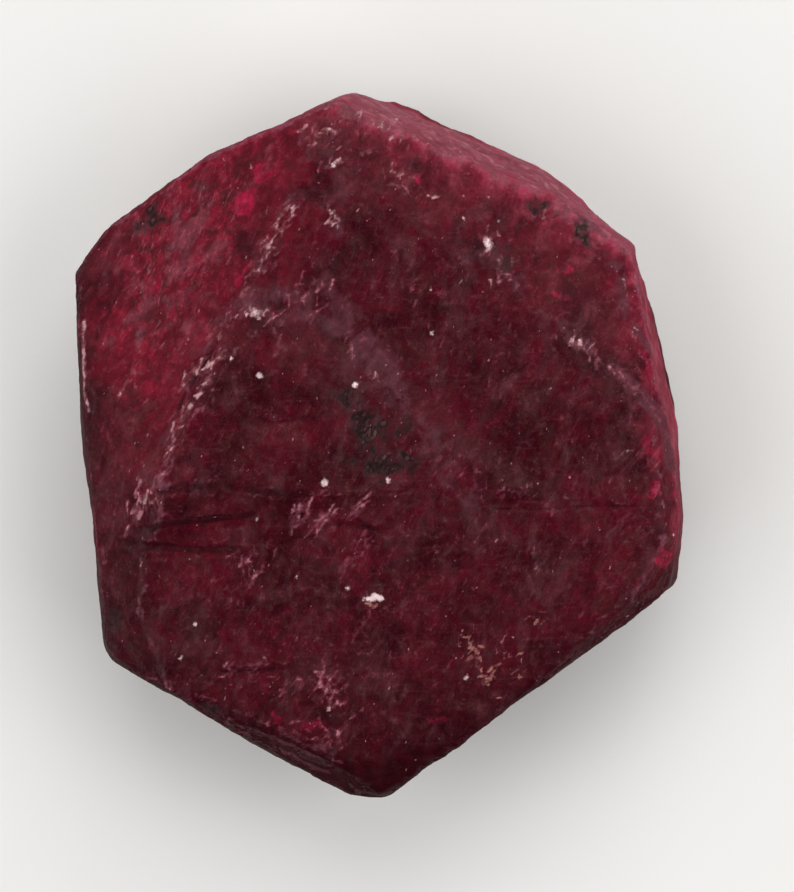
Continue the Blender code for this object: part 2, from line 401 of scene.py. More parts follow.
@dataclass(frozen=True)
class CrystalForm:
    """The crystal's habit: its flat faces, the growth layer on its crown, its chips and etch pits.

    It is remeshed at the size voxel. What lies above fine_level and faces up by more than fine_tilt
    is made twice as fine. The painted light and shade of neighbouring faces blend over about the
    distance blend, along an edge that wanders.
    """

    length: float = 26.0
    voxel: float = 0.188
    fine_level: float = 6.3
    fine_tilt: float = 0.3
    relax: int = 2
    relax_share: float = 0.5
    snap: float = 1e-5
    ball_detail: int = 5
    # For each face here and in the prism, the glow and rim given last are painted light, and below 0 painted
    # shade.
    crown: tuple[Face, ...] = (
        Face(350, 4, 0.0, 8.75, 0.0),
        Face(268, 10, 2.6, 8.68, 0.08),
        Face(152, 25, 6.77, 9.2, 0.55),
        Face(84, 30, 10.3, 8.9, 0.5),
        Face(57, 24, 8.4, 8.6, 0.2),
        Face(43, 25, 7.6, 8.4, 0.14),
        Face(4, 45, 10.4, 8.0, 0.25),
        Face(330, 50, 11.3, 7.6, 0.2),
        Face(306, 52, 10.35, 7.6, 0.0),
        Face(278, 36, 11.2, 7.1, -0.8),
        Face(249, 62, 11.16, 7.25, -0.3),
        Face(214, 36, 11.0, 7.8, -0.2),
        Face(187, 40, 9.3, 8.3, 0.15),
    )
    prism: tuple[Face, ...] = (
        Face(352, 88, 11.65, 5.0, 0.3, 0.3),
        Face(5, 88, 11.14, 5.0, 0.3, 0.5),
        Face(13, 85, 11.06, 4.0, 0.3, 0.6),
        Face(32, 82, 12.42, 4.0, 0.4, 0.8),
        Face(55, 80, 11.6, 4.0, 0.5, 0.8),
        Face(66, 80, 11.45, 4.0, 0.5, 0.9),
        Face(93, 82, 12.9, 5.0, 0.5, 0.8),
        Face(113, 90, 12.0, 6.0, 0.4, 0.5),
        Face(124, 92, 12.15, 7.0, 0.3, 0.3),
        Face(144, 93, 12.85, 7.0, 0.1, -0.6),
        Face(160, 92, 13.32, 5.0, -0.2, -0.9),
        Face(183, 87, 11.08, 4.0, -0.1, 0.0),
        Face(186, 87, 11.02, 4.0, -0.1, 0.0),
        Face(213, 83, 12.75, 4.0, -0.2, -0.3),
        Face(241, 87, 11.67, 3.6, -0.3, -0.3),
        Face(271, 84, 12.72, 4.0, -0.4, -0.3),
        Face(289, 88, 12.15, 5.0, -0.4, -0.4),
        Face(305, 94, 10.53, 7.0, -0.4, -0.4),
        Face(331, 89, 12.5, 5.0, 0.2, 0.2),
    )
    base: tuple[Face, ...] = (
        Face(0, 180, 0.0, 0.0),
        Face(8, 132, 8.6, 0.0),
        Face(62, 128, 9.0, 0.0),
        Face(90, 122, 10.8, 0.0),
        Face(122, 130, 9.4, 0.0),
        Face(184, 124, 8.6, 0.0),
        Face(240, 130, 9.2, 0.0),
        Face(270, 120, 11.0, 0.0),
        Face(306, 126, 8.2, 0.0),
    )
    plate: tuple[Face, ...] = (
        Face(350, 5.4, 0.0, 9.0),
        Face(150, 50, 6.55, 9.6),
        Face(130, 26, 6.2, 9.45),
        Face(196, 56, 8.3, 9.5),
        Face(38, 14, 1.5, 8.9),
        Face(277.6, 35, 1.69, 8.97),
        Face(0, 180, 0.0, 8.35),
    )
    chips: tuple[Chip, ...] = (
        Chip(38, 1.4, 5.0, 0.55),
        Chip(97, 1.7, 4.4, 0.4),
        Chip(148, 1.2, 5.5, 0.6),
        Chip(196, 2.6, 4.0, 0.35),
        Chip(219, 1.4, 5.0, 0.5),
        Chip(262, 0.6, 5.0, 0.4),
        Chip(318, 1.2, 5.0, 0.5),
        Chip(337, 2.4, 3.6, 0.35),
    )
    pits: tuple[EtchPit, ...] = (
        EtchPit(-2.6, 3.4, 2.3, 0.45),
        EtchPit(3.8, -2.2, 1.7, 0.35),
        EtchPit(-4.6, -4.4, 1.2, 0.28),
        EtchPit(2.4, 6.0, 1.3, 0.3),
        EtchPit(-0.2, -7.6, 1.5, 0.3),
    )
    pit_floor: float = 0.25
    blend: float = 0.4
    rim_width: float = 1.0
    rim_foot: float = 3.0
    rim_fade: float = 1.2
    rim_low: float = 0.25
    far: float = 20.0
    wander: float = 0.25
    wander_size: float = 1.3
    cut_below: float = 0.2

    def made(self, name: str, bm: bmesh.types.BMesh) -> bpy.types.Object:
        """Makes an object of a closed bmesh, with its faces pointing outwards.

        Args:
            name: The object's name.
            bm: The bmesh, which is freed.

        Returns:
            The new object.
        """
        mesh = bpy.data.meshes.new(name)
        bmesh.ops.recalc_face_normals(bm, faces=bm.faces)
        bm.to_mesh(mesh)
        bm.free()
        return linked(name, mesh)

    def cut(self, name: str, faces: tuple[Face, ...]) -> bpy.types.Object:
        """Cuts a block down to the convex crystal that lies behind all of these faces.

        Args:
            name: The object's name.
            faces: The flat faces that bound it.

        Returns:
            The new object.
        """
        bm = bmesh.new()
        bmesh.ops.create_cube(bm, size=2 * self.length)
        for face in faces:
            everything = bm.verts[:] + bm.edges[:] + bm.faces[:]
            cut = bmesh.ops.bisect_plane(
                bm,
                geom=everything,
                dist=self.snap,
                plane_co=face.point(),
                plane_no=face.normal(),
                clear_outer=True,
            )
            rim = [part for part in cut["geom_cut"] if isinstance(part, bmesh.types.BMEdge)]
            if rim:
                bmesh.ops.edgeloop_fill(bm, edges=rim)
        return self.made(name, bm)

    def reach_at(self, azimuth: float, level: float) -> float:
        """Works out how far the prism stands out from the c axis.

        Args:
            azimuth: The direction, in degrees from +X.
            level: The height.

        Returns:
            The distance from the axis to the first face in that direction.
        """
        turn = math.radians(azimuth)
        away, start = Vector((math.cos(turn), math.sin(turn), 0)), Vector((0, 0, level))
        facing = [(face, face.normal().dot(away)) for face in self.prism + self.base]
        return min(face.normal().dot(face.point() - start) / share for face, share in facing if share > 0)

    def chip_cutter(self, chip: Chip) -> bpy.types.Object:
        """Makes the ball whose surface is the chip's scar.

        Args:
            chip: The chip.

        Returns:
            The ball, which stands mostly outside the crystal.
        """
        out = self.reach_at(chip.azimuth, chip.level) + chip.radius - chip.bite
        turn = math.radians(chip.azimuth)
        place = Matrix.Translation((out * math.cos(turn), out * math.sin(turn), chip.level))
        bm = bmesh.new()
        bmesh.ops.create_icosphere(bm, subdivisions=self.ball_detail, radius=chip.radius, matrix=place)
        return self.made("chip_cutter", bm)

    def pit_cutter(self, pit: EtchPit) -> bpy.types.Object:
        """Makes a three-sided cone that points up into the basal face.

        Args:
            pit: The pit.

        Returns:
            The cone, which starts a little below the face.
        """
        height = pit.depth + self.cut_below
        bm = bmesh.new()
        bmesh.ops.create_cone(
            bm,
            cap_ends=True,
            segments=3,
            radius1=pit.size * height / pit.depth,
            radius2=self.pit_floor * pit.size,
            depth=height,
            matrix=Matrix.Translation((pit.x, pit.y, height / 2 - self.cut_below)),
        )
        return self.made("pit_cutter", bm)

    def build(self) -> bpy.types.Mesh:
        """Makes the sharp crystal and remeshes it evenly, finer over the crown.

        Returns:
            The mesh, in millimetres. The helper objects are gone again.
        """
        body = self.cut("sharp", self.crown + self.prism + self.base)
        cutters = [(self.cut("centre_plate", self.plate), "UNION")]
        cutters += [(self.chip_cutter(chip), "DIFFERENCE") for chip in self.chips]
        cutters += [(self.pit_cutter(pit), "DIFFERENCE") for pit in self.pits]
        for cutter, operation in cutters:
            boolean = body.modifiers.new(cutter.name, "BOOLEAN")
            boolean.operation = operation
            boolean.object = cutter
        remesh = body.modifiers.new("even", "REMESH")
        remesh.mode = "VOXEL"
        remesh.voxel_size = self.voxel
        graph = bpy.context.evaluated_depsgraph_get()
        mesh = bpy.data.meshes.new_from_object(body.evaluated_get(graph))
        for helper in [body] + [cutter for cutter, _ in cutters]:
            bpy.data.objects.remove(helper)
        self.refine(mesh)
        return mesh

    def refine(self, mesh: bpy.types.Mesh) -> None:
        """Halves the size of the crown's faces and rounds off the remesher's steps.

        Args:
            mesh: The remeshed crystal, which is changed.
        """
        bm = bmesh.new()
        bm.from_mesh(mesh)
        high = [face for face in bm.faces if face.calc_center_median().z > self.fine_level]
        crown = {edge for face in high if face.normal.z > self.fine_tilt for edge in face.edges}
        bmesh.ops.subdivide_edges(bm, edges=list(crown), cuts=1, use_grid_fill=True)
        bmesh.ops.triangulate(bm, faces=[face for face in bm.faces if len(face.verts) > 4])
        for _ in range(self.relax):
            bmesh.ops.smooth_vert(
                bm,
                verts=bm.verts[:],
                factor=self.relax_share,
                use_axis_x=True,
                use_axis_y=True,
                use_axis_z=True,
            )
        bm.to_mesh(mesh)
        bm.free()

    def glow_at(self, points: Points) -> tuple[Values, Values]:
        """How much painted light, crimson, and painted shade the crystal gets under these points.

        Args:
            points: Where to look, as rows.

        Returns:
            The painted light of the faces, blended over their edges, and the painted light that
            stands for light coming out again beside the rim. Below 0 they are painted shade.
        """
        total, weights = np.zeros(len(points)), np.zeros(len(points))
        wander = self.wander * lumps(points, (self.wander_size,) * 3, 3)
        for index, face in enumerate(self.crown + self.prism + self.base):
            depth = face.depth(points) + wander * (-1) ** index
            weight = np.exp(-np.clip(depth, -self.far, self.far) / self.blend)
            total += weight * face.glow
            weights += weight
        brighter, darker = np.zeros(len(points)), np.zeros(len(points))
        for face in self.prism:
            depth = np.clip(face.depth(points) + wander, 0.0, self.far)
            rim = face.rim * np.exp(-depth / self.rim_width)
            brighter, darker = np.maximum(brighter, rim), np.minimum(darker, rim)
        high = smooth((points[:, 2] - self.rim_foot) / self.rim_fade)
        brighter *= self.rim_low + (1.0 - self.rim_low) * high
        return total / weights, brighter + darker


@dataclass(frozen=True)
class Weathering:
    """The relief of the natural surface: growth ledges and layers, hackle, terraces and grit.

    The lines run round the upright faces, as growth leaves them. The hackle comes and goes in
    patches. Its turn is the direction of the crystal's long ridge, in degrees from +X.
    """

    width: float = 22.5
    length: float = 26.0
    ledges: tuple[Ledge, ...] = (
        Ledge((-9.1, -1.8), (-4.6, -1.55), 0.15, 0.06, 0.6, 0.4),
        Ledge((-9.2, -2.95), (-4.5, -2.5), 0.1, 0.07, 0.5, 0.4),
        Ledge((-9.4, -3.6), (-5.3, -3.65), 0.1, 0.08, 0.9, 0.4),
        Ledge((3.5, -2.1), (10.0, -2.4), 0.3, 0.08, 0.9),
        Ledge((-5.9, -8.1), (-3.2, -7.95), 0.1, 0.12, 0.9),
        Ledge((8.5, -3.4), (10.6, -3.9), 0.9, 0.06, 0.8),
        Ledge((-2.4, -2.9), (0.6, -3.3), 0.3, 0.1, 0.7),
        Ledge((-4.9, 0.82), (-2.2, 0.9), 0.05, 0.06, 0.6),
        Ledge((-9.5, -5.4), (-8.4, -9.6), 0.2, 0.05, 0.8, 0.7),
        Ledge((-2.9, -1.7), (4.0, -2.0), 0.0, -0.16, 1.4, 0.9),
    )
    groove: Stroke = Stroke(((-5.95, 3.8), (-6.7, 2.5), (-7.3, 1.0)), 0.2)
    groove_depth: float = 0.07
    layer_seeds: tuple[int, int] = (11, 12)
    layer_spread: float = 0.42
    layer_count: int = 22
    layer_sizes: tuple[float, float] = (0.6, 2.2)
    layer_thicknesses: tuple[float, float] = (0.015, 0.035)
    layer_bevel: float = 0.3
    crown_sides: tuple[int, ...] = (270, 38, 155)
    base_sides: tuple[int, ...] = (90, 218, 335)
    lump_size: float = 2.8
    lump_height: float = 0.09
    grain_size: float = 0.9
    grain_height: float = 0.035
    line_spacing: float = 1.1
    line_depth: float = 0.12
    line_length: float = 9.0
    hackle_turn: float = 63.0
    hackle_sizes: tuple[float, float, float] = (1.3, 0.3, 0.8)
    hackle_height: float = 0.028
    terrace_size: float = 1.5
    terrace_count: float = 3.5
    terrace_height: float = 0.022
    terrace_edge: float = 0.3
    grit_size: float = 0.24
    grit_height: float = 0.012
    rough_patch_size: float = 2.2
    rough_patch_usual: float = 0.5
    rough_patch_contrast: float = 1.2
    base_tilt: float = 0.75
    flat_rest: float = 0.02
    base_top: float = 1.0

    def layers(self, x: Values, y: Values, sides: tuple[int, ...], seed: int) -> Values:
        """How far the scattered three-sided growth layers raise the ground.

        Args:
            x: Where the points are along X.
            y: Where they are along Y.
            sides: The directions that the three sides of each layer look in.
            seed: Which of the random scatters this is.

        Returns:
            One height for each point.
        """
        chance = random.Random(seed)
        raised = np.zeros_like(x)
        for _ in range(self.layer_count):
            centre_x = chance.uniform(-self.layer_spread, self.layer_spread) * self.width
            centre_y = chance.uniform(-self.layer_spread, self.layer_spread) * self.length
            size = chance.uniform(*self.layer_sizes)
            thickness = chance.uniform(*self.layer_thicknesses)
            out = np.full_like(x, -np.inf)
            for side in sides:
                turn = math.radians(side)
                out = np.maximum(out, (x - centre_x) * math.cos(turn) + (y - centre_y) * math.sin(turn))
            raised += thickness * smooth((size - out) / self.layer_bevel)
        return raised

    def terraces(self, points: Points) -> Values:
        """Works out low, winding steps, as growth and dissolving leave on a natural face.

        Args:
            points: Where they are read, as rows.

        Returns:
            One height for each point.
        """
        height = self.terrace_count * lumps(points, (self.terrace_size,) * 3, 3, self.hackle_turn)
        whole = np.floor(height)
        return self.terrace_height * (whole + smooth((height - whole) / self.terrace_edge) - height)

    def weather(self, points: Points, normals: Points, rough: Values) -> Points:
        """Moves the points of the sharp crystal to its weathered surface.

        Args:
            points: The sharp crystal's points, as rows.
            normals: The surface normals there.
            rough: How coarse the surface is at each point, where 1 is usual.

        Returns:
            The moved points.
        """
        x, y, z = points.T
        up = crown_share(normals)
        down = smooth((-normals[:, 2] - self.base_tilt) / TILT_BLEND)
        side = 1.0 - up - down
        raised = self.layers(x, y, self.crown_sides, self.layer_seeds[0])
        raised -= self.groove_depth * self.groove.cover(x, y)
        for ledge in self.ledges:
            raised += ledge.relief(x, y)
        hollow = self.layers(x, y, self.base_sides, self.layer_seeds[1]) - self.layer_thicknesses[1]
        out = self.lump_height * lumps(points, (self.lump_size,) * 3, 3)
        out += self.grain_height * lumps(points, (self.grain_size,) * 3, 2)
        lines = (self.line_length, self.line_length, self.line_spacing)
        out += side * self.line_depth * lumps(points, lines, 3)
        fine = self.hackle_height * lumps(points, self.hackle_sizes, 3, self.hackle_turn)
        patchy = self.rough_patch_contrast * lumps(points + self.length, (self.rough_patch_size,) * 3, 2)
        fine *= smooth(self.rough_patch_usual + patchy)
        fine += self.terraces(points)
        fine += self.grit_height * lumps(points, (self.grit_size,) * 3, 2)
        out += rough * fine
        out *= z >= self.flat_rest
        moved = points + normals * out[:, None]
        moved[:, 2] += up * raised + down * np.maximum(hollow, 0.0) * (z < self.base_top)
        return moved


@dataclass(frozen=True)
class SurfaceMarks:
    """Frost, crusts and inclusions, and painted glow, highlights, shade and glints, each where it lies.

    A glint is given by its x and y, how wide it is and how bright, up to 1. The edges of seams and
    patches sway, and those of all marks are ragged.
    """

    seams: tuple[Seam, ...] = (
        # The groove beside the long ridge, with painted shade in it.
        Seam(Kind.SHADED_HOLLOW, ((-6.2, 3.3), (-6.8, 2.4), (-7.4, 1.3)), 0.16, 1.0),
        # The duller bands along the long ridge, the growth layer and the crests.
        Seam(
            Kind.VEIL,
            ((-3.2, 8.5), (-4.3, 6.5), (-5.4, 4.8), (-6.4, 3.0), (-7.3, 1.2), (-7.9, 0.0)),
            0.8, 0.5,
        ),
        Seam(Kind.VEIL, ((-4.7, 4.9), (-3.3, 5.0), (-2.2, 5.3), (-1.2, 4.3), (0.2, 2.6)), 1.5, 0.75),
        Seam(Kind.VEIL, ((0.2, 2.6), (1.2, 1.0), (2.4, -0.6), (3.5, -1.9)), 1.3, 0.55),
        Seam(Kind.VEIL, ((7.3, 8.9), (8.9, 6.4), (9.2, 5.0)), 0.6, 0.8),
        Seam(Kind.VEIL, ((9.2, 4.7), (10.4, 3.2)), 0.4, 0.9),
        Seam(Kind.VEIL, ((7.0, 4.0), (8.6, 2.9), (9.6, 2.0), (10.6, 0.8), (11.0, -0.8)), 0.55, 0.95),
        Seam(Kind.VEIL, ((-2.1, 10.6), (-1.3, 9.0), (-1.6, 7.6)), 0.7, 0.5),
        Seam(Kind.VEIL, ((2.9, 6.6), (4.4, 6.9), (5.6, 5.4)), 0.9, 0.5),
        # The left-hand edge, with a pale line of painted reflection along it.
        Seam(Kind.FROST_AND_HIGHLIGHT, ((-11.0, 4.4), (-10.97, 2.3), (-10.8, 1.2)), 0.17, 0.8),
        Seam(Kind.VEIL, ((-10.4, -3.2), (-10.0, -5.6), (-9.7, -8.0)), 0.5, 0.2),
        # The shell-shaped fracture on the right.
        Seam(Kind.FROST_AND_HIGHLIGHT, ((8.8, -0.5), (9.2, -0.2), (9.5, -0.15)), 0.1, 0.7),
        Seam(Kind.VEIL, ((8.5, -3.3), (9.0, -2.7), (9.4, -2.4), (10.0, -2.6), (10.4, -3.2)), 0.14, 0.7),
        # The slits along the growth ledges, with painted shade in them.
        Seam(Kind.SHADED_HOLLOW, ((-8.1, -1.6), (-5.9, -1.4), (-4.6, -1.6), (-2.6, -1.8)), 0.3, 0.8),
        Seam(Kind.SHADED_HOLLOW, ((-9.1, -3.0), (-6.7, -2.7), (-4.6, -2.5)), 0.26, 0.9),
        Seam(Kind.SHADED_HOLLOW, ((-9.5, -3.5), (-7.4, -3.7), (-5.5, -3.7)), 0.3, 1.0),
        Seam(Kind.SHADED_HOLLOW, ((-8.6, -4.7), (-7.3, -4.9)), 0.2, 0.5),
        Seam(Kind.SHADED_HOLLOW, ((-4.9, 0.8), (-2.2, 1.0)), 0.16, 0.6),
        Seam(Kind.SHADED_HOLLOW, ((-5.8, -8.1), (-3.9, -8.0)), 0.2, 0.8),
        Seam(Kind.SHADED_HOLLOW, ((3.6, -2.3), (5.9, -2.3), (8.2, -2.1), (9.6, -2.1), (9.9, -2.5)), 0.12, 0.7),
        Seam(Kind.SHADED_HOLLOW, ((-9.5, 5.8), (-10.5, 3.9)), 0.2, 0.8),
        Seam(Kind.SHADED_HOLLOW, ((-3.2, -3.3), (-2.4, -3.2)), 0.16, 0.9),
        Seam(Kind.SHADED_HOLLOW, ((-0.9, -2.5), (-0.2, -3.1)), 0.18, 0.8),
        Seam(Kind.SHADED_HOLLOW, ((-1.6, -5.6), (-0.9, -6.0)), 0.3, 0.8),
        Seam(Kind.SHADED_HOLLOW, ((-6.6, -9.2), (-4.6, -10.0), (-2.6, -10.95), (-1.0, -11.6)), 0.4, 0.9),
    )
    flecks: tuple[Flecks, ...] = (
        # The long ridge.
        Flecks(
            Kind.FROST_AND_HIGHLIGHT,
            ((-3.2, 8.5), (-4.3, 6.5), (-5.4, 4.75), (-6.2, 3.5)),
            0.14, 60, 0.4, 0.75, 60, 30,
        ),
        Flecks(Kind.FROST_AND_HIGHLIGHT, ((-5.8, 3.3), (-6.3, 2.6), (-6.9, 1.4)), 0.1, 26, 0.45, 0.9, 60, 20),
        Flecks(Kind.FROST_AND_HIGHLIGHT, ((-6.5, 3.1), (-7.3, 2.0)), 0.07, 14, 0.45, 0.9, 60, 20),
        Flecks(
            Kind.FROST_AND_HIGHLIGHT,
            ((-7.0, 1.6), (-7.6, 0.3), (-8.1, -1.1), (-8.7, -2.0), (-9.3, -3.1)),
            0.1, 50, 0.45, 0.7,
        ),
        Flecks(Kind.FEATHER, ((-3.0, 9.0), (-5.4, 4.75), (-7.6, 0.5)), 0.45, 110, 0.35, 0.55),
        # Beside it, and down the left-hand side.
        Flecks(Kind.FROST_AND_HIGHLIGHT, ((-4.8, 4.6), (-4.3, 4.7)), 0.12, 14, 0.3, 1.0, -20, 40),
        Flecks(Kind.FROST_AND_HIGHLIGHT, ((-9.0, 2.6), (-9.8, 1.3)), 0.08, 12, 0.45, 0.7),
        Flecks(Kind.FEATHER, ((-9.8, 2.5), (-7.2, 6.3), (-4.2, 10.0)), 1.1, 130, 0.3, 0.5),
        Flecks(Kind.FROST_AND_HIGHLIGHT, ((-9.8, 2.5), (-7.2, 6.3), (-4.2, 10.0)), 1.2, 24, 0.25, 0.6),
        Flecks(Kind.FEATHER, ((-10.0, 1.0), (-10.0, -6.0)), 0.45, 50, 0.4, 0.5, 70),
        Flecks(
            Kind.FEATHER,
            ((-9.3, -8.2), (-6.2, -9.1), (-2.1, -10.8), (-0.6, -11.8)),
            0.09, 46, 0.34, 0.6, -24, 30,
        ),
        Flecks(Kind.VEIL, ((-7.2, -9.5), (-2.4, -11.6)), 0.24, 26, 1.3, 0.9, -25, 5, 0.12),
        Flecks(Kind.CRUST, ((-6.2, -9.9), (-4.1, -11.0), (-1.2, -12.4)), 0.18, 30, 0.9, 0.7, -28, 8, 0.12),
        # The apex of the growth layer and its edges.
        Flecks(Kind.FEATHER, ((-3.4, 4.6), (-2.2, 5.6)), 0.4, 46, 0.35, 0.85, 72, 24),
        Flecks(Kind.FEATHER, ((-3.6, 3.7), (-4.1, 2.8)), 0.1, 10, 0.4, 0.7),
        Flecks(Kind.FROST_AND_HIGHLIGHT, ((-1.2, 3.8), (-0.9, 3.5), (-1.1, 2.9)), 0.05, 8, 0.35, 0.8, 75, 12),
        Flecks(Kind.FROST_AND_HIGHLIGHT, ((-0.1, 2.6), (0.1, 2.1)), 0.05, 3, 0.3, 0.9, 75, 10),
        Flecks(Kind.FEATHER, ((-1.2, 4.3), (1.9, -0.1), (3.5, -2.0)), 0.4, 60, 0.3, 0.5),
        Flecks(Kind.FROST_AND_HIGHLIGHT, ((-0.6, 2.0), (0.6, 0.8), (0.9, -0.6)), 0.4, 18, 0.22, 0.7),
        # The basal face above and to the right of it, with painted highlights on small chips and painted
        # shade in the dents beside them.
        Flecks(Kind.FEATHER, ((-0.5, 8.5), (3.0, 5.5), (6.5, 2.0)), 1.8, 190, 0.28, 0.5),
        Flecks(Kind.SHADED_HOLLOW, ((-1.5, 8.0), (3.0, 5.0), (6.5, 0.5)), 2.0, 90, 0.4, 0.6, 40, 50, 0.16),
        Flecks(Kind.FROST_AND_HIGHLIGHT, ((-1.85, 8.5), (-1.5, 7.8)), 0.1, 16, 0.28, 0.9, -30, 40),
        Flecks(Kind.FROST_AND_HIGHLIGHT, ((-2.3, 11.0), (-1.75, 11.25)), 0.06, 8, 0.3, 0.9, 20, 30),
        Flecks(Kind.FROST_AND_HIGHLIGHT, ((-2.1, 9.9), (-1.4, 10.1)), 0.05, 12, 0.35, 0.85, 10, 20),
        Flecks(Kind.FROST_AND_HIGHLIGHT, ((-0.7, 10.4), (0.1, 10.45)), 0.05, 7, 0.3, 0.6, 0, 20),
        Flecks(Kind.FROST_AND_HIGHLIGHT, ((0.45, 9.85), (0.9, 9.6)), 0.06, 9, 0.25, 0.85, -20, 30),
        Flecks(Kind.FROST_AND_HIGHLIGHT, ((1.8, 8.95), (2.2, 8.85)), 0.04, 6, 0.3, 0.8, 10, 20),
        Flecks(Kind.FROST_AND_HIGHLIGHT, ((3.9, 7.5), (4.2, 6.9)), 0.09, 14, 0.3, 0.9, 70, 25),
        Flecks(Kind.FEATHER, ((4.6, 6.1), (5.3, 5.8)), 0.12, 12, 0.3, 0.8, 30, 40),
        Flecks(Kind.FROST_AND_HIGHLIGHT, ((0.2, 9.8), (1.4, 9.0)), 0.25, 16, 0.35, 0.6, -30, 50),
        Flecks(Kind.FROST_AND_HIGHLIGHT, ((3.9, 7.4), (4.9, 5.9)), 0.3, 24, 0.3, 0.75, 60, 40),
        Flecks(Kind.FROST_AND_HIGHLIGHT, ((7.0, 3.9), (8.1, 3.1)), 0.2, 22, 0.28, 0.8, 60, 30),
        Flecks(Kind.FROST_AND_HIGHLIGHT, ((8.3, 2.9), (9.6, 1.9)), 0.2, 14, 0.25, 0.6),
        Flecks(Kind.FEATHER, ((8.4, 3.0), (9.6, 2.0), (10.6, 0.8)), 0.12, 28, 0.35, 0.7, -48),
        # The upper rims.
        Flecks(Kind.FEATHER, ((-2.6, 10.6), (-1.2, 11.4), (0.2, 12.0), (2.2, 11.1)), 0.45, 110, 0.3, 0.9),
        Flecks(Kind.FROST_AND_HIGHLIGHT, ((-1.0, 11.4), (0.2, 11.6), (1.2, 10.8)), 0.4, 26, 0.25, 0.8),
        Flecks(Kind.FEATHER, ((2.2, 11.0), (5.4, 9.6), (8.2, 7.2)), 0.5, 80, 0.4, 0.65, -35),
        Flecks(Kind.FROST_AND_HIGHLIGHT, ((5.6, 8.6), (7.0, 8.6), (7.8, 7.4)), 0.3, 20, 0.3, 0.7, 50, 40),
        Flecks(Kind.FEATHER, ((8.6, 6.4), (9.4, 4.8), (10.4, 2.2)), 0.35, 50, 0.35, 0.6, -55),
        Flecks(Kind.FROST_AND_HIGHLIGHT, ((9.2, 5.6), (9.5, 4.2), (9.6, 3.6)), 0.12, 8, 0.3, 0.8, -65),
        Flecks(Kind.FEATHER, ((9.5, 1.0), (10.4, -1.0), (10.9, -3.4)), 0.3, 40, 0.3, 0.6, 80),
        Flecks(Kind.FROST_AND_HIGHLIGHT, ((7.6, -0.6), (8.6, -1.6), (8.4, -2.6)), 0.3, 16, 0.3, 0.5, 80, 30),
        # The hatched patch and the strokes under it.
        Flecks(Kind.FEATHER, ((-3.2, -2.7), (-2.5, -2.1)), 0.12, 16, 0.7, 0.9, 68, 12),
        Flecks(Kind.FEATHER, ((-2.3, -2.8), (-1.5, -2.5)), 0.16, 16, 0.55, 0.9, 48, 14),
        Flecks(Kind.FEATHER, ((-1.2, -2.6), (-0.4, -1.9)), 0.12, 14, 0.7, 0.85, 42, 12),
        Flecks(Kind.FROST_AND_HIGHLIGHT, ((-3.2, -3.0), (-2.9, -2.5)), 0.03, 3, 0.5, 0.8, 72, 6),
        Flecks(Kind.FROST_AND_HIGHLIGHT, ((-2.0, -2.7), (-1.7, -2.3)), 0.03, 3, 0.5, 0.9, 52, 6),
        Flecks(Kind.CRUST, ((-0.3, -5.64), (0.2, -5.8)), 0.05, 10, 0.25, 0.8, -10, 20),
        Flecks(Kind.FEATHER, ((-1.2, -4.2), (-0.2, -3.3)), 0.16, 16, 0.6, 0.7, 48, 10),
        Flecks(Kind.FEATHER, ((-1.6, -5.4), (-1.3, -4.5)), 0.1, 8, 0.6, 0.5, 75, 10),
        Flecks(Kind.FEATHER, ((-1.0, -7.2), (-0.3, -5.8)), 0.08, 10, 0.7, 0.6, 62, 8),
        Flecks(Kind.FEATHER, ((-5.5, -3.6), (-4.4, -4.4)), 0.3, 22, 0.4, 0.75),
        Flecks(Kind.FEATHER, ((-8.6, -1.4), (-8.9, -2.4)), 0.2, 20, 0.35, 0.9),
        Flecks(Kind.FEATHER, ((2.7, -0.8), (4.2, -1.4), (6.0, -1.8)), 0.3, 26, 0.3, 0.65),
        Flecks(Kind.FROST_AND_HIGHLIGHT, ((3.9, -2.0), (4.6, -1.8)), 0.04, 4, 0.4, 0.6, 8, 8),
        # The lower part, with painted shade in its small dents, and the splintered zone by its tip.
        Flecks(Kind.FEATHER, ((-7.5, -5.0), (-2.0, -6.0), (4.0, -4.5), (8.5, -3.5)), 1.4, 220, 0.35, 0.48),
        Flecks(Kind.SHADED_HOLLOW, ((-7.0, -4.5), (-1.0, -5.5), (7.0, -4.0)), 1.8, 110, 0.45, 0.6, 20, 50, 0.16),
        Flecks(Kind.FEATHER, ((-7.0, -7.6), (-3.0, -7.8), (2.5, -8.6)), 0.7, 90, 0.3, 0.5, 40, 50),
        Flecks(Kind.FEATHER, ((-5.9, -8.0), (-2.2, -8.5)), 0.22, 40, 0.35, 0.75, 20, 40),
        Flecks(Kind.FEATHER, ((-2.2, -8.0), (-1.3, -9.4)), 0.38, 54, 0.26, 0.8, 60, 50),
        Flecks(Kind.FROST_AND_HIGHLIGHT, ((-2.0, -8.4), (-1.5, -9.2)), 0.3, 12, 0.25, 0.8),
        Flecks(Kind.FEATHER, ((-2.8, -10.1), (-1.2, -10.6)), 0.2, 20, 0.28, 0.75, 30, 50),
        Flecks(Kind.FROST_AND_HIGHLIGHT, ((5.7, -3.6), (5.9, -4.3)), 0.14, 10, 0.25, 0.7),
        Flecks(Kind.CRUST, ((3.4, -6.6), (4.0, -8.6)), 0.26, 60, 0.22, 0.9, 80, 60, 0.09),
        Flecks(Kind.CRUST, ((4.6, -7.2), (5.3, -8.0)), 0.36, 36, 0.22, 0.75, 60, 60, 0.09),
        Flecks(Kind.CRUST, ((5.7, -6.0), (6.2, -6.4)), 0.2, 14, 0.3, 0.65, 60, 40),
    )
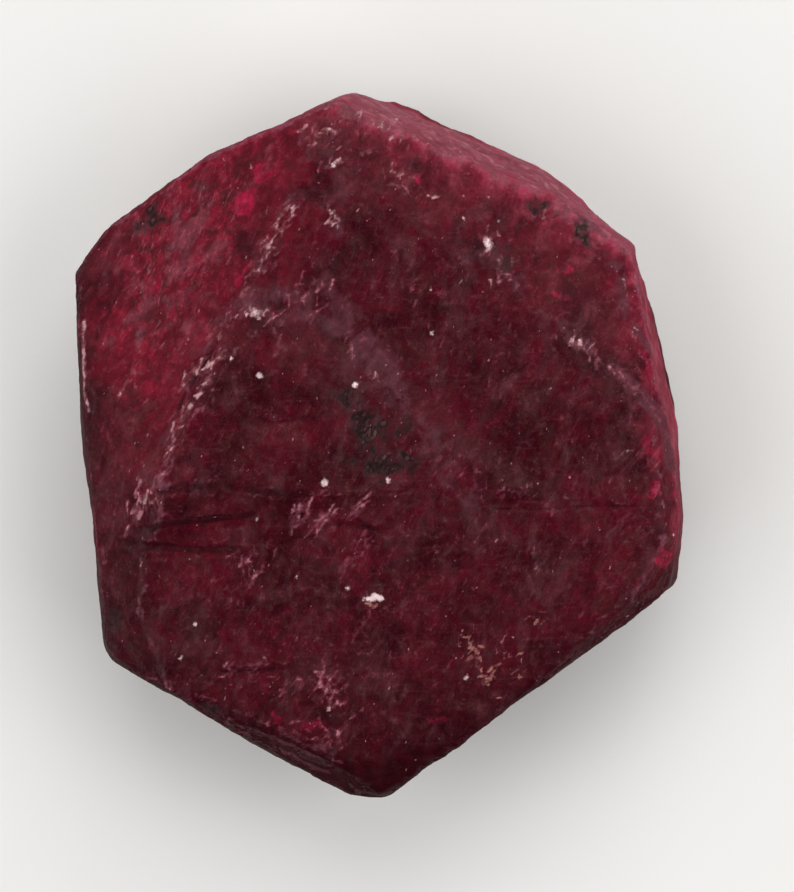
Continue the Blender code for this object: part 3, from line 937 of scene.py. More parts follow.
    patches: tuple[Patch, ...] = (
        # Spots of painted glow, for light coming out through thin parts and cracks.
        Patch(Kind.GLOW, -4.9, 8.7, 1.2, 0.8, 60, 0.9),
        Patch(Kind.GLOW, -4.3, 9.6, 0.9, 0.6, 40, 0.8),
        Patch(Kind.GLOW, -8.1, 5.7, 1.1, 0.4, 60, 0.7),
        Patch(Kind.GLOW, -5.0, 6.1, 0.9, 0.4, 55, 0.8),
        Patch(Kind.GLOW, -9.0, 8.9, 0.7, 0.4, 30, 0.5),
        Patch(Kind.GLOW, 3.7, 11.0, 1.3, 0.6, -30, 0.9),
        Patch(Kind.GLOW, 1.5, 9.5, 0.5, 0.4, 0, 0.9),
        Patch(Kind.GLOW, 5.5, 8.9, 1.2, 0.7, -40, 0.7),
        Patch(Kind.GLOW, 7.0, 6.2, 0.8, 0.6, -50, 0.8),
        Patch(Kind.GLOW, 6.8, 5.3, 0.6, 0.4, 0, 0.9),
        Patch(Kind.GLOW, 10.0, 2.9, 1.2, 0.5, -70, 0.6),
        Patch(Kind.GLOW, 8.9, 5.7, 1.2, 0.4, -60, 0.6),
        Patch(Kind.GLOW, 10.1, -0.1, 1.2, 0.6, -50, 0.7),
        Patch(Kind.GLOW, 10.3, -1.6, 0.8, 0.5, -80, 0.9),
        Patch(Kind.GLOW, 10.7, -4.0, 0.9, 0.4, 80, 0.8),
        Patch(Kind.GLOW, 2.2, -9.9, 0.8, 0.4, 0, 0.6),
        Patch(Kind.GLOW, -8.5, -1.6, 1.2, 0.5, 50, 0.6),
        Patch(Kind.GLOW, -3.9, -9.7, 0.8, 0.4, -20, 0.6),
        Patch(Kind.GLOW, -2.4, -10.1, 1.0, 0.5, -20, 0.6),
        Patch(Kind.INCLUSION, -0.3, 0.6, 2.0, 1.4, -50, 0.85),
        Patch(Kind.INCLUSION, 1.0, 0.5, 1.2, 0.7, 30, 0.7),
        Patch(Kind.INCLUSION, 0.9, -0.6, 1.4, 0.6, -20, 0.8),
        Patch(Kind.INCLUSION, -0.9, -0.5, 0.9, 0.6, 0, 0.6),
        Patch(Kind.INCLUSION, -1.1, 1.7, 1.3, 1.0, 0, 0.7),
        Patch(Kind.INCLUSION, 0.2, -0.7, 1.5, 1.0, 0, 0.85),
        Patch(Kind.INCLUSION, -8.6, 8.1, 1.4, 0.9, 20, 0.85),
        Patch(Kind.INCLUSION, 7.6, 7.6, 1.3, 0.7, -45, 0.9),
        Patch(Kind.INCLUSION, 5.9, 8.5, 0.8, 0.6, 0, 0.9),
        Patch(Kind.INCLUSION, 4.6, 6.9, 1.4, 1.0, -40, 0.6),
        Patch(Kind.INCLUSION, -9.9, -6.6, 1.6, 0.7, 80, 0.6),
        Patch(Kind.INCLUSION, -6.2, -9.5, 0.9, 0.5, -20, 0.6),
        # Dents and hollows, darkened with painted shade.
        Patch(Kind.SHADED_HOLLOW, -1.9, 9.4, 1.5, 0.9, 0, 0.9),
        Patch(Kind.SHADED_HOLLOW, 3.72, 6.85, 0.9, 0.5, 80, 0.9),
        Patch(Kind.SHADED_HOLLOW, 0.5, 9.2, 1.4, 0.6, -20, 0.6),
        Patch(Kind.SHADED_HOLLOW, -4.9, 7.2, 1.2, 0.9, 20, 0.9),
        Patch(Kind.SHADED_HOLLOW, -1.9, -9.8, 1.2, 0.6, -20, 0.9),
        Patch(Kind.SHADED_HOLLOW, -2.7, -9.1, 0.7, 0.5, 0, 0.8),
        Patch(Kind.SHADED_HOLLOW, -10.2, 5.6, 2.0, 1.4, 70, 0.8),
        Patch(Kind.SHADED_HOLLOW, -9.4, 7.0, 1.2, 1.0, 0, 0.5),
        Patch(Kind.SHADED_HOLLOW, -0.9, -5.6, 0.8, 0.4, 0, 1.0),
        Patch(Kind.SHADED_HOLLOW, -4.0, 5.1, 1.4, 0.5, 20, 0.8),
    )
    # Painted glints: points of light where small facets catch it.
    glints: tuple[tuple[float, float, float, float], ...] = (
        (-0.34, -5.46, 0.22, 0.9),
        (-0.12, -5.42, 0.28, 1.0),
        (0.1, -5.46, 0.22, 0.9),
        (-0.56, -5.52, 0.14, 0.6),
        (-1.15, -5.1, 0.24, 0.7),
        (-3.05, -4.7, 0.16, 0.7),
        (-3.1, -5.6, 0.14, 0.5),
        (0.4, -1.25, 0.22, 0.9),
        (-2.0, -1.35, 0.26, 0.9),
        (-0.85, 2.15, 0.22, 0.9),
        (-4.4, 2.5, 0.24, 0.9),
        (-5.45, 3.1, 0.2, 0.7),
        (-3.45, 3.25, 0.14, 0.5),
        (-7.05, 4.3, 0.14, 0.5),
        (-8.1, 4.7, 0.18, 0.6),
        (-4.5, 4.7, 0.44, 0.6),
        (-4.7, 9.9, 0.16, 0.6),
        (-0.6, 12.0, 0.16, 0.6),
        (-1.0, 11.6, 0.24, 0.5),
        (0.65, 11.65, 0.24, 0.6),
        (-1.8, 11.2, 0.26, 0.5),
        (3.35, 10.0, 0.2, 0.5),
        (3.2, 8.1, 0.2, 0.6),
        (1.5, 7.35, 0.14, 0.5),
        (-1.25, 6.0, 0.2, 0.5),
        (-0.6, 5.6, 0.14, 0.5),
        (1.95, 5.55, 0.26, 0.7),
        (0.95, 5.1, 0.2, 0.4),
        (-1.65, 10.0, 0.3, 0.6),
        (-1.65, 8.3, 0.3, 0.5),
        (4.1, 7.15, 0.4, 0.7),
        (2.0, 4.0, 0.2, 0.8),
        (4.5, 8.0, 0.16, 0.6),
        (2.7, -0.9, 0.2, 0.6),
        (9.3, -0.2, 0.2, 0.7),
        (7.5, 3.7, 0.26, 0.6),
        (8.55, 2.5, 0.18, 0.5),
        (9.45, 3.95, 0.18, 0.6),
        (11.0, -3.2, 0.16, 0.6),
        (5.85, -4.2, 0.22, 0.6),
        (6.05, -1.55, 0.2, 0.6),
        (3.3, -8.3, 0.26, 0.7),
        (-9.6, 1.75, 0.24, 0.6),
        (-8.45, 1.1, 0.18, 0.5),
        (-8.9, 0.1, 0.16, 0.5),
        (-9.3, -0.55, 0.22, 0.5),
        (-4.8, -0.9, 0.16, 0.6),
        (-7.35, -7.6, 0.24, 0.7),
        (-8.0, -7.6, 0.14, 0.6),
        (-6.45, -8.1, 0.16, 0.6),
        (-5.8, -8.2, 0.16, 0.5),
        (-6.9, -7.2, 0.14, 0.5),
        (-6.8, -6.4, 0.16, 0.8),
        (-8.5, -7.3, 0.22, 0.4),
        (-4.5, -2.65, 0.2, 0.6),
        (-5.45, -3.7, 0.16, 0.6),
        (-4.6, -4.45, 0.22, 0.6),
        (-3.0, -4.7, 0.16, 0.5),
    )
    seed: int = 5
    ragged_size: float = 0.26
    ragged: float = 0.5
    sway_size: float = 0.7
    sway_shift: float = 7.3
    seam_sway: float = 0.09
    patch_sway: float = 0.35
    veil_size: float = 0.9
    veil_usual: float = 0.8
    veil_contrast: float = 0.9
    glint_fade: float = 0.4
    raised: tuple[tuple[Kind, float], ...] = (
        (Kind.FROST_AND_HIGHLIGHT, 0.03),
        (Kind.FEATHER, 0.02),
        (Kind.SHADED_HOLLOW, -0.03),
        (Kind.CRUST, 0.04),
        (Kind.INCLUSION, -0.03),
    )

    def paint(self, points: Points, up: Values) -> dict[Kind, Values]:
        """Works out how strongly each kind of mark covers these points.

        Args:
            points: The surface's points, as rows.
            up: How far each point belongs to the crown, 0 to 1.

        Returns:
            For each kind, one value from 0 to 1 for each point.
        """
        x, y = points[:, 0], points[:, 1]
        sizes = (self.sway_size,) * 3
        sway_x = lumps(points + self.sway_size * self.sway_shift, sizes, 3)
        sway_y = lumps(points - self.sway_size * self.sway_shift, sizes, 3)
        covers = {kind: np.zeros(len(points)) for kind in Kind}
        for marks, sway in ((self.seams, self.seam_sway), (self.patches, self.patch_sway)):
            for mark in marks:
                cover = mark.cover(x + sway * sway_x, y + sway * sway_y)
                covers[mark.kind] = np.maximum(covers[mark.kind], cover)
        thin = self.veil_contrast * lumps(points, (self.veil_size,) * 3, 3)
        covers[Kind.VEIL] *= smooth(self.veil_usual + thin)
        chance = random.Random(self.seed)
        for mark in self.flecks:
            cover = mark.cover(x + self.seam_sway * sway_x, y + self.seam_sway * sway_y, chance)
            covers[mark.kind] = np.maximum(covers[mark.kind], cover)
        ragged = self.ragged * lumps(points, (self.ragged_size,) * 3, 3)
        for kind in Kind:
            covers[kind] = up * np.clip(covers[kind] * (1.0 + ragged), 0.0, 1.0)
        for glint_x, glint_y, size, bright in self.glints:
            out = np.hypot(x - glint_x, y - glint_y) / (0.5 * size)
            cover = bright * np.clip(1.0 - self.glint_fade * out, 0.0, 1.0)
            covers[Kind.GLINT] = np.maximum(covers[Kind.GLINT], cover)
        return covers

    def relief(self, covers: dict[Kind, Values]) -> Values:
        """How far the marks stand out from the ground around them."""
        return sum(height * covers[kind] for kind, height in self.raised)


@dataclass(frozen=True)
class Grain:
    """A noise pattern.

    Its lumps' sizes, in millimetres, are along the direction turn, in degrees from +X, level across
    it, and upwards.
    """

    sizes: tuple[float, float, float]
    detail: float = 3.0
    roughness: float = 0.6
    distortion: float = 0.0
    turn: float = 63.0


@dataclass(frozen=True)
class Tint:
    """A colour laid over those before it.

    It shows where the sum of its mark, if it has one, and of its grain rises from low to high, and
    reaches at most the share most.
    """

    colour: str
    grain: str
    low: float
    high: float
    most: float = 1.0
    mark: str = ""


@dataclass(frozen=True)
class NaturalRuby:
    """Ruby corundum with its natural, etched and worn growth surface.

    Dark wine-red in the mass. Its colour holds painted light and shade: crimson where light comes out
    again near the rims and through the faces, near black on faces in painted shade, and painted
    highlights. The etched surface scatters a little light, which gives the dull lustre and the pinkish
    frost on every raised edge.

    Its tints are laid over the body colour in order, each where its grain and its mark say. Contrast
    is how far some of the grains then lighten and darken the whole.
    """

    name: str = "ruby_corundum_natural_etched"
    body: str = "#34040e"
    ior: float = 1.77
    specular: float = 0.05
    roughness: tuple[float, float] = (0.2, 0.32)
    bump: float = 0.012
    grains: tuple[tuple[str, Grain], ...] = (
        # Zones of colour, as the crystal grew.
        ("mottle", Grain((2.4, 2.4, 2.4), 6.0, 0.62, 0.6)),
        ("clouds", Grain((1.8, 1.2, 1.2), 4.0, 0.6, 1.0)),
        ("patches", Grain((0.9, 0.9, 0.9), 5.0, 0.6, 1.2)),
        # Flaws and stains within a zone.
        ("smudges", Grain((0.9, 0.5, 0.5), 3.0, 0.55, 0.5)),
        ("blots", Grain((0.62, 0.46, 0.46), 3.0, 0.6, 0.6)),
        # The broken edges of splinters and pits.
        ("crumbs", Grain((0.3, 0.3, 0.3), 5.0, 0.75)),
        ("strokes", Grain((0.5, 0.13, 0.13), 3.0, 0.6, 0.8, 66.0)),
        ("flecks", Grain((0.32, 0.2, 0.2))),
        # Scratches and growth lines. They are a few hundredths of a millimetre, drawn coarser to show.
        ("fibres", Grain((0.84, 0.07, 0.07), 2.0, 0.5, 0.4)),
        ("strata", Grain((2.0, 0.14, 0.14), 3.0, 0.6, 0.3, 1.0)),
        ("layers", Grain((5.0, 5.0, 0.34), 4.0, 0.6, 0.3)),
        # Etch pits, of about 0.02 mm, and painted sparkles for the larger ones that catch the light:
        # drawn coarser to show.
        ("grit", Grain((0.07, 0.07, 0.07), 2.0, 0.5)),
        ("sparks", Grain((0.2, 0.13, 0.13), 1.0, 0.3)),
    )
    contrast: tuple[tuple[str, float], ...] = (("grit", 0.14), ("crumbs", 0.17), ("blots", 0.28))
    tints: tuple[Tint, ...] = (
        # The wine-red mass.
        Tint("#480917", "mottle", 0.36, 0.6),
        Tint("#3e1216", "patches", 0.47, 0.64, 0.75),
        Tint("#481620", "clouds", 0.52, 0.7, 0.5),
        # Painted light on the faces that light falls on and passes through, from crimson to dull pink.
        Tint("#6a1023", "mottle", 0.5, 1.1, 1.0, "painted_face_light"),
        Tint("#8c1a30", "blots", 0.95, 1.2, 0.75, "painted_face_light"),
        Tint("#441418", "patches", 0.98, 1.16, 0.8, "painted_face_light"),
        Tint("#743c4a", "clouds", 0.97, 1.18, 0.5, "painted_face_light"),
        Tint("#3a0a12", "blots", 1.05, 1.2, 0.4, "painted_face_light"),
        Tint("#94505e", "strokes", 1.08, 1.24, 0.6, "painted_face_light"),
        # Painted light at the rims, where it comes out again.
        Tint("#8e203a", "clouds", 0.65, 1.3, 0.9, "rim"),
        Tint("#b25a6a", "clouds", 0.95, 1.45, 0.75, "rim"),
        Tint("#5a1824", "patches", 1.2, 1.5, 0.5, "rim"),
        Tint("#a0164a", "blots", 1.12, 1.3, 0.45, "rim"),
        Tint("#6a4248", "smudges", 1.05, 1.3, 0.55, "rim"),
        Tint("#c88c92", "blots", 1.36, 1.56, 0.22, "rim"),
        # The growth bands of the upright faces: near-black ones, which also paint shade on them, and pink
        # ones, thinned out under the rims' painted light.
        Tint("#1e0307", "layers", 1.45, 1.65, 0.7, "side"),
        Tint("#7c4450", "layers", 1.62, 1.75, 0.5, "side"),
        # The haze, scratches and growth lines of the etched skin.
        Tint("#a87c80", "clouds", 0.46, 0.8, 0.07),
        Tint("#a88084", "crumbs", 0.52, 0.82, 0.14),
        Tint("#8c4c5a", "fibres", 0.58, 0.8, 0.14),
        Tint("#6c3440", "strata", 0.56, 0.74, 0.2),
        # Painted shade on dark faces, in recesses and in dents, painted glow spots, worn edges and marks,
        # and painted sparkles and glints.
        Tint("#2a0208", "mottle", 0.5, 1.3, 0.95, "shade"),
        Tint("#a0123c", "crumbs", 0.85, 1.65, 0.75, "glow"),
        Tint("#240309", "flecks", 0.8, 1.7, 0.5, "recess_shade"),
        Tint("#2a040c", "crumbs", 0.65, 1.6, 0.75, "hollow"),
        Tint("#96566a", "crumbs", 0.9, 1.6, 0.4, "worn"),
        Tint("#582c36", "smudges", 0.75, 1.4, 0.8, "veil"),
        Tint("#803c4c", "crumbs", 0.75, 1.35, 0.75, "feather"),
        Tint("#b0747e", "crumbs", 1.15, 1.45, 0.7, "feather"),
        Tint("#8c5058", "crumbs", 0.75, 1.3, 0.6, "frost_and_highlight"),
        Tint("#c49ca0", "crumbs", 1.1, 1.45, 0.8, "frost_and_highlight"),
        Tint("#382426", "smudges", 0.6, 1.4, 0.7, "inclusion"),
        Tint("#16110f", "crumbs", 1.1, 1.4, 0.8, "inclusion"),
        Tint("#7c4c50", "flecks", 1.38, 1.6, 0.35, "inclusion"),
        Tint("#8a4e50", "crumbs", 0.9, 1.2, 0.8, "crust"),
        Tint("#a87868", "flecks", 1.1, 1.45, 0.75, "crust"),
        # Painted sparkles and glints: highlights where pits and chips catch the light.
        Tint("#a8747e", "sparks", 0.76, 0.82, 0.7),
        Tint("#e4c6c8", "crumbs", 0.93, 1.2, 1.0, "glint"),
    )

    def material(self) -> bpy.types.Material:
        """Makes the node material.

        Returns:
            The material, which reads the mesh's mark attributes.
        """
        made = bpy.data.materials.new(self.name)
        made.use_nodes = True
        tree = made.node_tree
        tree.nodes.clear()
        low, high = NOISE_RANGE
        # A Map Range takes the old range at 1 and 2 and the new one at 3 and 4, and a Mix its colours
        # at 6 and 7.
        place = add_node(tree, "ShaderNodeTexCoord", {}).outputs["Object"]
        values: dict[str, Any] = {}
        for name, grain in self.grains:
            sizes = [size * MM for size in grain.sizes]
            inputs = {"Vector": place, "Rotation": (0.0, 0.0, math.radians(grain.turn)), "Scale": sizes}
            stretched = add_node(tree, "ShaderNodeMapping", inputs, vector_type="TEXTURE").outputs[0]
            inputs = {"Vector": stretched, "Scale": 1.0, "Detail": grain.detail}
            inputs |= {"Roughness": grain.roughness, "Distortion": grain.distortion}
            values[name] = add_node(tree, "ShaderNodeTexNoise", inputs).outputs["Fac"]
        colour: Any = linear(self.body)
        for tint in self.tints:
            reached = values[tint.grain]
            if tint.mark:
                mark = add_node(tree, "ShaderNodeAttribute", {}, attribute_name=tint.mark).outputs["Fac"]
                reached = add_node(tree, "ShaderNodeMath", {0: mark, 1: reached}, operation="ADD").outputs[0]
            inputs = {"Value": reached, 1: tint.low, 2: tint.high, 3: 0.0, 4: tint.most}
            share = add_node(tree, "ShaderNodeMapRange", inputs, interpolation_type="SMOOTHSTEP").outputs[0]
            inputs = {0: share, 6: colour, 7: linear(tint.colour)}
            colour = add_node(tree, "ShaderNodeMix", inputs, data_type="RGBA").outputs[2]
        for name, share in self.contrast:
            inputs = {"Value": values[name], 1: low, 2: high, 3: 1.0 - share, 4: 1.0 + share}
            level = add_node(tree, "ShaderNodeMapRange", inputs).outputs[0]
            inputs = {0: 1.0, 6: colour, 7: level}
            mixed = add_node(tree, "ShaderNodeMix", inputs, data_type="RGBA", blend_type="MULTIPLY")
            colour = mixed.outputs[2]
        smoothest, roughest = self.roughness
        inputs = {"Value": values["patches"], 1: low, 2: high, 3: smoothest, 4: roughest}
        roughness = add_node(tree, "ShaderNodeMapRange", inputs).outputs[0]
        inputs = {0: values["flecks"], 1: values["grit"]}
        height = add_node(tree, "ShaderNodeMath", inputs, operation="ADD").outputs[0]
        inputs = {"Height": height, "Distance": self.bump * MM, "Strength": 1.0}
        bump = add_node(tree, "ShaderNodeBump", inputs).outputs[0]
        inputs = {"Base Color": colour, "Roughness": roughness, "IOR": self.ior, "Normal": bump}
        inputs["Specular IOR Level"] = self.specular
        surface = add_node(tree, "ShaderNodeBsdfPrincipled", inputs)
        add_node(tree, "ShaderNodeOutputMaterial", {"Surface": surface.outputs[0]})
        return made


@dataclass(frozen=True)
class PaleCard:
    """Uncoated white card: matt and even. Its half side is in metres."""

    shade: str = "#f3f2f0"
    roughness: float = 0.9
    specular: float = 0.2
    half_side: float = 1.5

    def material(self) -> bpy.types.Material:
        """Makes the node material.

        Returns:
            The material.
        """
        made = bpy.data.materials.new("white_card_uncoated")
        made.use_nodes = True
        surface = made.node_tree.nodes["Principled BSDF"]
        surface.inputs["Base Color"].default_value = linear(self.shade)
        surface.inputs["Roughness"].default_value = self.roughness
        surface.inputs["Specular IOR Level"].default_value = self.specular
        return made

    def build(self) -> bpy.types.Object:
        """Lays the card under the crystal, as the stage's floor.

        Returns:
            The card.
        """
        bm = bmesh.new()
        bmesh.ops.create_grid(bm, x_segments=2, y_segments=2, size=self.half_side)
        mesh = bpy.data.meshes.new("floor_card")
        bm.to_mesh(mesh)
        bm.free()
        floor = linked("floor_card", mesh)
        mesh.materials.append(self.material())
        return floor


@dataclass(frozen=True)
class Softbox:
    """A square soft light that looks at the crystal.

    Its azimuth is where it stands, in degrees anticlockwise from +X, and its elevation is above the
    card. Distance and size are in metres, and power in watts.
    """

    name: str
    azimuth: float
    elevation: float
    distance: float
    size: float
    power: float

    def build(self) -> bpy.types.Object:
        """Sets the light up.

        Returns:
            The light.
        """
        turn, rise = math.radians(self.azimuth), math.radians(self.elevation)
        away = Vector((math.cos(turn) * math.cos(rise), math.sin(turn) * math.cos(rise), math.sin(rise)))
        data = bpy.data.lights.new(self.name, "AREA")
        data.size = self.size
        data.energy = self.power
        light = linked(self.name, data)
        light.location = away * self.distance
        light.rotation_euler = away.to_track_quat("Z", "Y").to_euler()
        return light


@dataclass(frozen=True)
class LightTent:
    """Pale cloth behind the crystal, grey in front of it and dark at the opening overhead, and softboxes.

    The cloth turns pale over the fade, from -1 right in front to 1 right behind. The opening begins
    and is fully dark where a ray climbs this steeply, and 1 is straight up.
    """

    back: str = "#dad9d7"
    front: str = "#707072"
    gap: str = "#202022"
    strength: float = 0.82
    fade: tuple[float, float] = (-0.45, 0.1)
    opening: tuple[float, float] = (0.82, 0.93)
    boxes: tuple[Softbox, ...] = (
        Softbox("window_softbox", 70, 22, 0.5, 0.35, 0.6),
        Softbox("key_softbox", 90, 58, 0.4, 0.26, 0.39),
        Softbox("left_softbox", 205, 48, 0.5, 0.42, 1.05),
        Softbox("right_softbox", 345, 48, 0.5, 0.42, 0.87),
    )

    def build(self) -> None:
        """Makes the world's light and sets up the softboxes."""
        world = bpy.data.worlds.new("light_tent")
        world.use_nodes = True
        tree = world.node_tree
        tree.nodes.clear()
        direction = add_node(tree, "ShaderNodeTexCoord", {}).outputs["Generated"]
        parts = add_node(tree, "ShaderNodeSeparateXYZ", {0: direction}).outputs
        inputs = {"Value": parts["Y"], 1: self.fade[0], 2: self.fade[1]}
        share = add_node(tree, "ShaderNodeMapRange", inputs, interpolation_type="SMOOTHSTEP").outputs[0]
        colours = {0: share, 6: linear(self.front), 7: linear(self.back)}
        cloth = add_node(tree, "ShaderNodeMix", colours, data_type="RGBA").outputs[2]
        inputs = {"Value": parts["Z"], 1: self.opening[0], 2: self.opening[1]}
        share = add_node(tree, "ShaderNodeMapRange", inputs, interpolation_type="SMOOTHSTEP").outputs[0]
        colours = {0: share, 6: cloth, 7: linear(self.gap)}
        colour = add_node(tree, "ShaderNodeMix", colours, data_type="RGBA").outputs[2]
        light = add_node(tree, "ShaderNodeBackground", {0: colour, 1: self.strength})
        add_node(tree, "ShaderNodeOutputWorld", {0: light.outputs[0]})
        bpy.context.scene.world = world
        for box in self.boxes:
            box.build()


@dataclass(frozen=True)
class CopyStand:
    """A long lens that looks straight down on the crystal.

    Lengths are in millimetres, apart from the nearest and farthest that it sees, in metres.
    """

    lens: float = 400.0
    sensor: float = 36.0
    frame_height: float = 32.95
    aim: tuple[float, float] = (0.63, -0.04)
    focus_level: float = 5.0
    seen: tuple[float, float] = (0.01, 10.0)

    def build(self) -> bpy.types.Object:
        """Sets the camera up, so that the frame's height is true at the focus level.

        Returns:
            The camera.
        """
        data = bpy.data.cameras.new("copy_stand_camera")
        data.lens = self.lens
        data.sensor_width = self.sensor
        rise = self.focus_level + self.frame_height * self.lens / self.sensor
        data.clip_start, data.clip_end = self.seen
        camera = linked("copy_stand_camera", data)
        camera.location = Vector((*self.aim, rise)) * MM
        bpy.context.scene.camera = camera
        return camera


@dataclass(frozen=True)
class RawRuby:
    """The crystal itself: its form, its weathering, its marks and its finishes.

    How far each point stands out from the surface round it, evened out by a few steps for small
    splinters and by more for edges, makes it worn where it stands out and gives it painted shade where
    it sinks in. Flanks and faces under painted shade show less wear.
    """

    form: CrystalForm = CrystalForm()
    weathering: Weathering = Weathering()
    marks: SurfaceMarks = SurfaceMarks()
    finish: NaturalRuby = NaturalRuby()
    # The upright faces are rougher, so they look duller and more even than the crown.
    side_finish: NaturalRuby = NaturalRuby(
        "ruby_corundum_prism_faces_rough",
        specular=0.01,
        roughness=(0.45, 0.6),
        contrast=(("grit", 0.1), ("blots", 0.15)),
    )
    side_tilt: float = 0.6
    flank_tilt: float = 0.62
    usual_roughness: float = 0.7
    roughness_of_glow: float = 0.4
    least_roughness: float = 0.2
    worn_steps: int = 4
    worn_height: float = 0.02
    edge_steps: int = 40
    edge_height: float = 0.09
    proud_share: float = 0.6
    flank_cut: float = 0.4
    flank_wear: float = 0.55
    shade_wear: float = 0.8
    rim_on_flank: float = 0.7
    rounding_steps: int = 120
    rounding_rise: float = 0.8
    rounded: tuple[Stroke, ...] = (
        Stroke(((-2.4, 9.6), (0.4, 9.2), (3.4, 7.2), (6.0, 4.6), (9.2, 1.6)), 2.6),
        Stroke(((-3.4, 8.2), (-4.9, 5.2), (-6.8, 1.8)), 0.8),
        Stroke(((-0.5, 12.4), (3.7, 10.8), (7.6, 8.2), (9.4, 6.6)), 1.4),
    )

    def evened(self, mesh: bpy.types.Mesh, points: Points, steps: int) -> Points:
        """The surface evened out by moving each point half-way to its neighbours' middle.

        Args:
            mesh: The mesh, for its edges.
            points: Its points.
            steps: How many times they are moved.

        Returns:
            The moved points.
        """
        ends = np.empty(len(mesh.edges) * 2, np.int32)
        mesh.edges.foreach_get("vertices", ends)
        first, second = ends.reshape(-1, 2).T
        count = np.bincount(ends, minlength=len(points))[:, None]
        moved = points.copy()
        for _ in range(steps):
            total = np.zeros_like(moved)
            for axis in range(3):
                total[:, axis] = np.bincount(first, moved[second, axis], len(points))
                total[:, axis] += np.bincount(second, moved[first, axis], len(points))
            moved = 0.5 * moved + 0.5 * total / count
        return moved

    def relative_height(self, mesh: bpy.types.Mesh, points: Points, normals: Points, steps: int) -> Values:
        """How far each point stands out from the surface evened out round it.

        Args:
            mesh: The mesh, for its edges.
            points: Its points.
            normals: Its normals.
            steps: How many times the surface is evened out.

        Returns:
            One height for each point, in the points' unit.
        """
        return ((points - self.evened(mesh, points, steps)) * normals).sum(axis=1)

    def read(self, items: bpy.types.bpy_prop_collection, what: str) -> Points:
        """Reads one vector from each vertex or face of a mesh.

        Args:
            items: The mesh's vertices or faces.
            what: The name of the vector, such as co or normal.

        Returns:
            The vectors, as rows.
        """
        values = np.empty(len(items) * 3)
        items.foreach_get(what, values)
        return values.reshape(-1, 3)

    def move(self, mesh: bpy.types.Mesh, points: Points) -> Points:
        """Moves the vertices of a mesh.

        Args:
            mesh: The mesh.
            points: Where they go.

        Returns:
            The normals that they then have.
        """
        mesh.vertices.foreach_set("co", points.ravel())
        mesh.update()
        return self.read(mesh.vertices, "normal")

    def softened(self, mesh: bpy.types.Mesh, points: Points) -> Points:
        """Rounds off the edges that are worn, along the rounded lines of the crown.

        Args:
            mesh: The mesh, for its edges.
            points: Its points.

        Returns:
            The moved points.
        """
        x, y, z = points.T
        softness = np.zeros(len(points))
        for crease in self.rounded:
            softness = np.maximum(softness, crease.cover(x, y))
        softness *= smooth((z - self.form.fine_level) / self.rounding_rise)
        return points + softness[:, None] * (self.evened(mesh, points, self.rounding_steps) - points)

    def fitted(self, points: Points) -> Points:
        """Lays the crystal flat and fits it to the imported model's box.

        Args:
            points: The crystal's points, in millimetres.

        Returns:
            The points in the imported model's frame, in metres.
        """
        low, high = (np.array(corner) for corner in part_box(NODE))
        points = points.copy()
        points[points[:, 2] < self.weathering.flat_rest, 2] = 0.0
        share = (points - points.min(axis=0)) / np.ptp(points, axis=0)
        return low + share * (high - low)

    def shades(
        self,
        mesh: bpy.types.Mesh,
        points: Points,
        normals: Points,
        painted_face_light: Values,
        rim: Values,
    ) -> dict[str, Values]:
        """Works out what the finishes read besides the marks, painted light and shade among them.

        Args:
            mesh: The mesh, for its edges.
            points: Its points.
            normals: Its normals.
            painted_face_light: The faces' painted light at each point, below 0 their painted shade.
            rim: Painted light for light coming out again beside the rim, below 0 painted shade.

        Returns:
            For each attribute's name, one value from 0 to about 1 for each point.
        """
        fine = self.relative_height(mesh, points, normals, self.worn_steps) / self.worn_height
        broad = self.relative_height(mesh, points, normals, self.edge_steps) / self.edge_height
        proud = self.proud_share * fine + self.proud_share * broad
        flank = smooth((self.flank_tilt - np.abs(normals[:, 2])) / TILT_BLEND)
        # lit is the rims' painted light, and shade the painted shade of dark faces and rims.
        lit = np.maximum(rim, 0.0)
        shade = np.clip(np.maximum(-painted_face_light, 0.0) - np.minimum(rim, 0.0), 0.0, 1.0)
        worn = smooth(proud - self.flank_cut * flank) * (1.0 - self.flank_wear * flank)
        return {
            "painted_face_light": np.maximum(painted_face_light, 0.0),
            "rim": lit,
            "side": flank * (1.0 - self.rim_on_flank * smooth(lit)),
            "shade": shade,
            "worn": worn * (1.0 - self.shade_wear * shade),
            "recess_shade": smooth(-proud),
        }

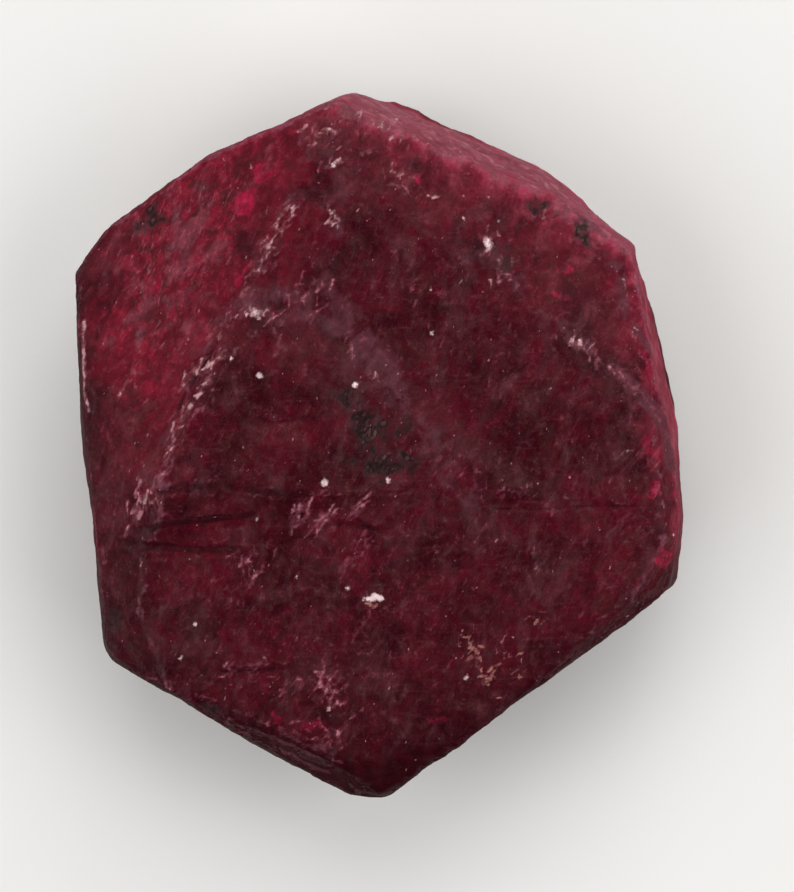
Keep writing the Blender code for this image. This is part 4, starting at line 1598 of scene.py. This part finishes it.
    def dress(self, mesh: bpy.types.Mesh, values: dict[str, Values]) -> None:
        """Gives the mesh its attributes and its two finishes.

        Args:
            mesh: The crystal's mesh.
            values: For each attribute's name, one value for each point.
        """
        for name, value in values.items():
            attribute = mesh.attributes.new(name, "FLOAT", "POINT")
            attribute.data.foreach_set("value", value.astype(np.float32))
        mesh.shade_smooth()
        mesh.materials.append(self.finish.material())
        mesh.materials.append(self.side_finish.material())
        steep = np.abs(self.read(mesh.polygons, "normal")[:, 2]) < self.side_tilt
        mesh.polygons.foreach_set("material_index", steep.astype(np.int32))

    def build(self) -> bpy.types.Object:
        """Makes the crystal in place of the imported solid.

        Returns:
            The finished object.
        """
        mesh = self.form.build()
        sharp = self.softened(mesh, self.read(mesh.vertices, "co"))
        normals = self.move(mesh, sharp)
        # The faces' painted light, below 0 painted shade, and the rims' painted light and shade.
        painted_face_light, rim = self.form.glow_at(sharp)
        covers = self.marks.paint(sharp, crown_share(normals))
        rough = self.usual_roughness + self.roughness_of_glow * (painted_face_light - np.maximum(rim, 0.0))
        rough = np.maximum(rough, self.least_roughness)
        points = self.weathering.weather(sharp, normals, rough)
        points += normals * self.marks.relief(covers)[:, None]
        normals = self.move(mesh, points)
        values = {kind.value: cover for kind, cover in covers.items()}
        values |= self.shades(mesh, points, normals, painted_face_light, rim)
        self.move(mesh, self.fitted(points))
        self.dress(mesh, values)
        mesh.name = PIECE
        crystal = linked(PIECE, mesh)
        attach(crystal, "root")
        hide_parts(NODE)
        return crystal


def main() -> None:
    """Builds the stage, the lights, the camera and the crystal."""
    logging.basicConfig(level=logging.INFO, format="%(name)s: %(message)s")
    CopyStand().build()
    LightTent().build()
    bpy.context.scene.view_settings.view_transform = "Standard"
    floor = PaleCard().build()
    LOG.info("%s is %.1f m wide", floor.name, floor.dimensions.x)
    crystal = RawRuby().build()
    crystal.data.calc_loop_triangles()
    LOG.info("%s has %d triangles", crystal.name, len(crystal.data.loop_triangles))


if __name__ == "__main__":
    main()
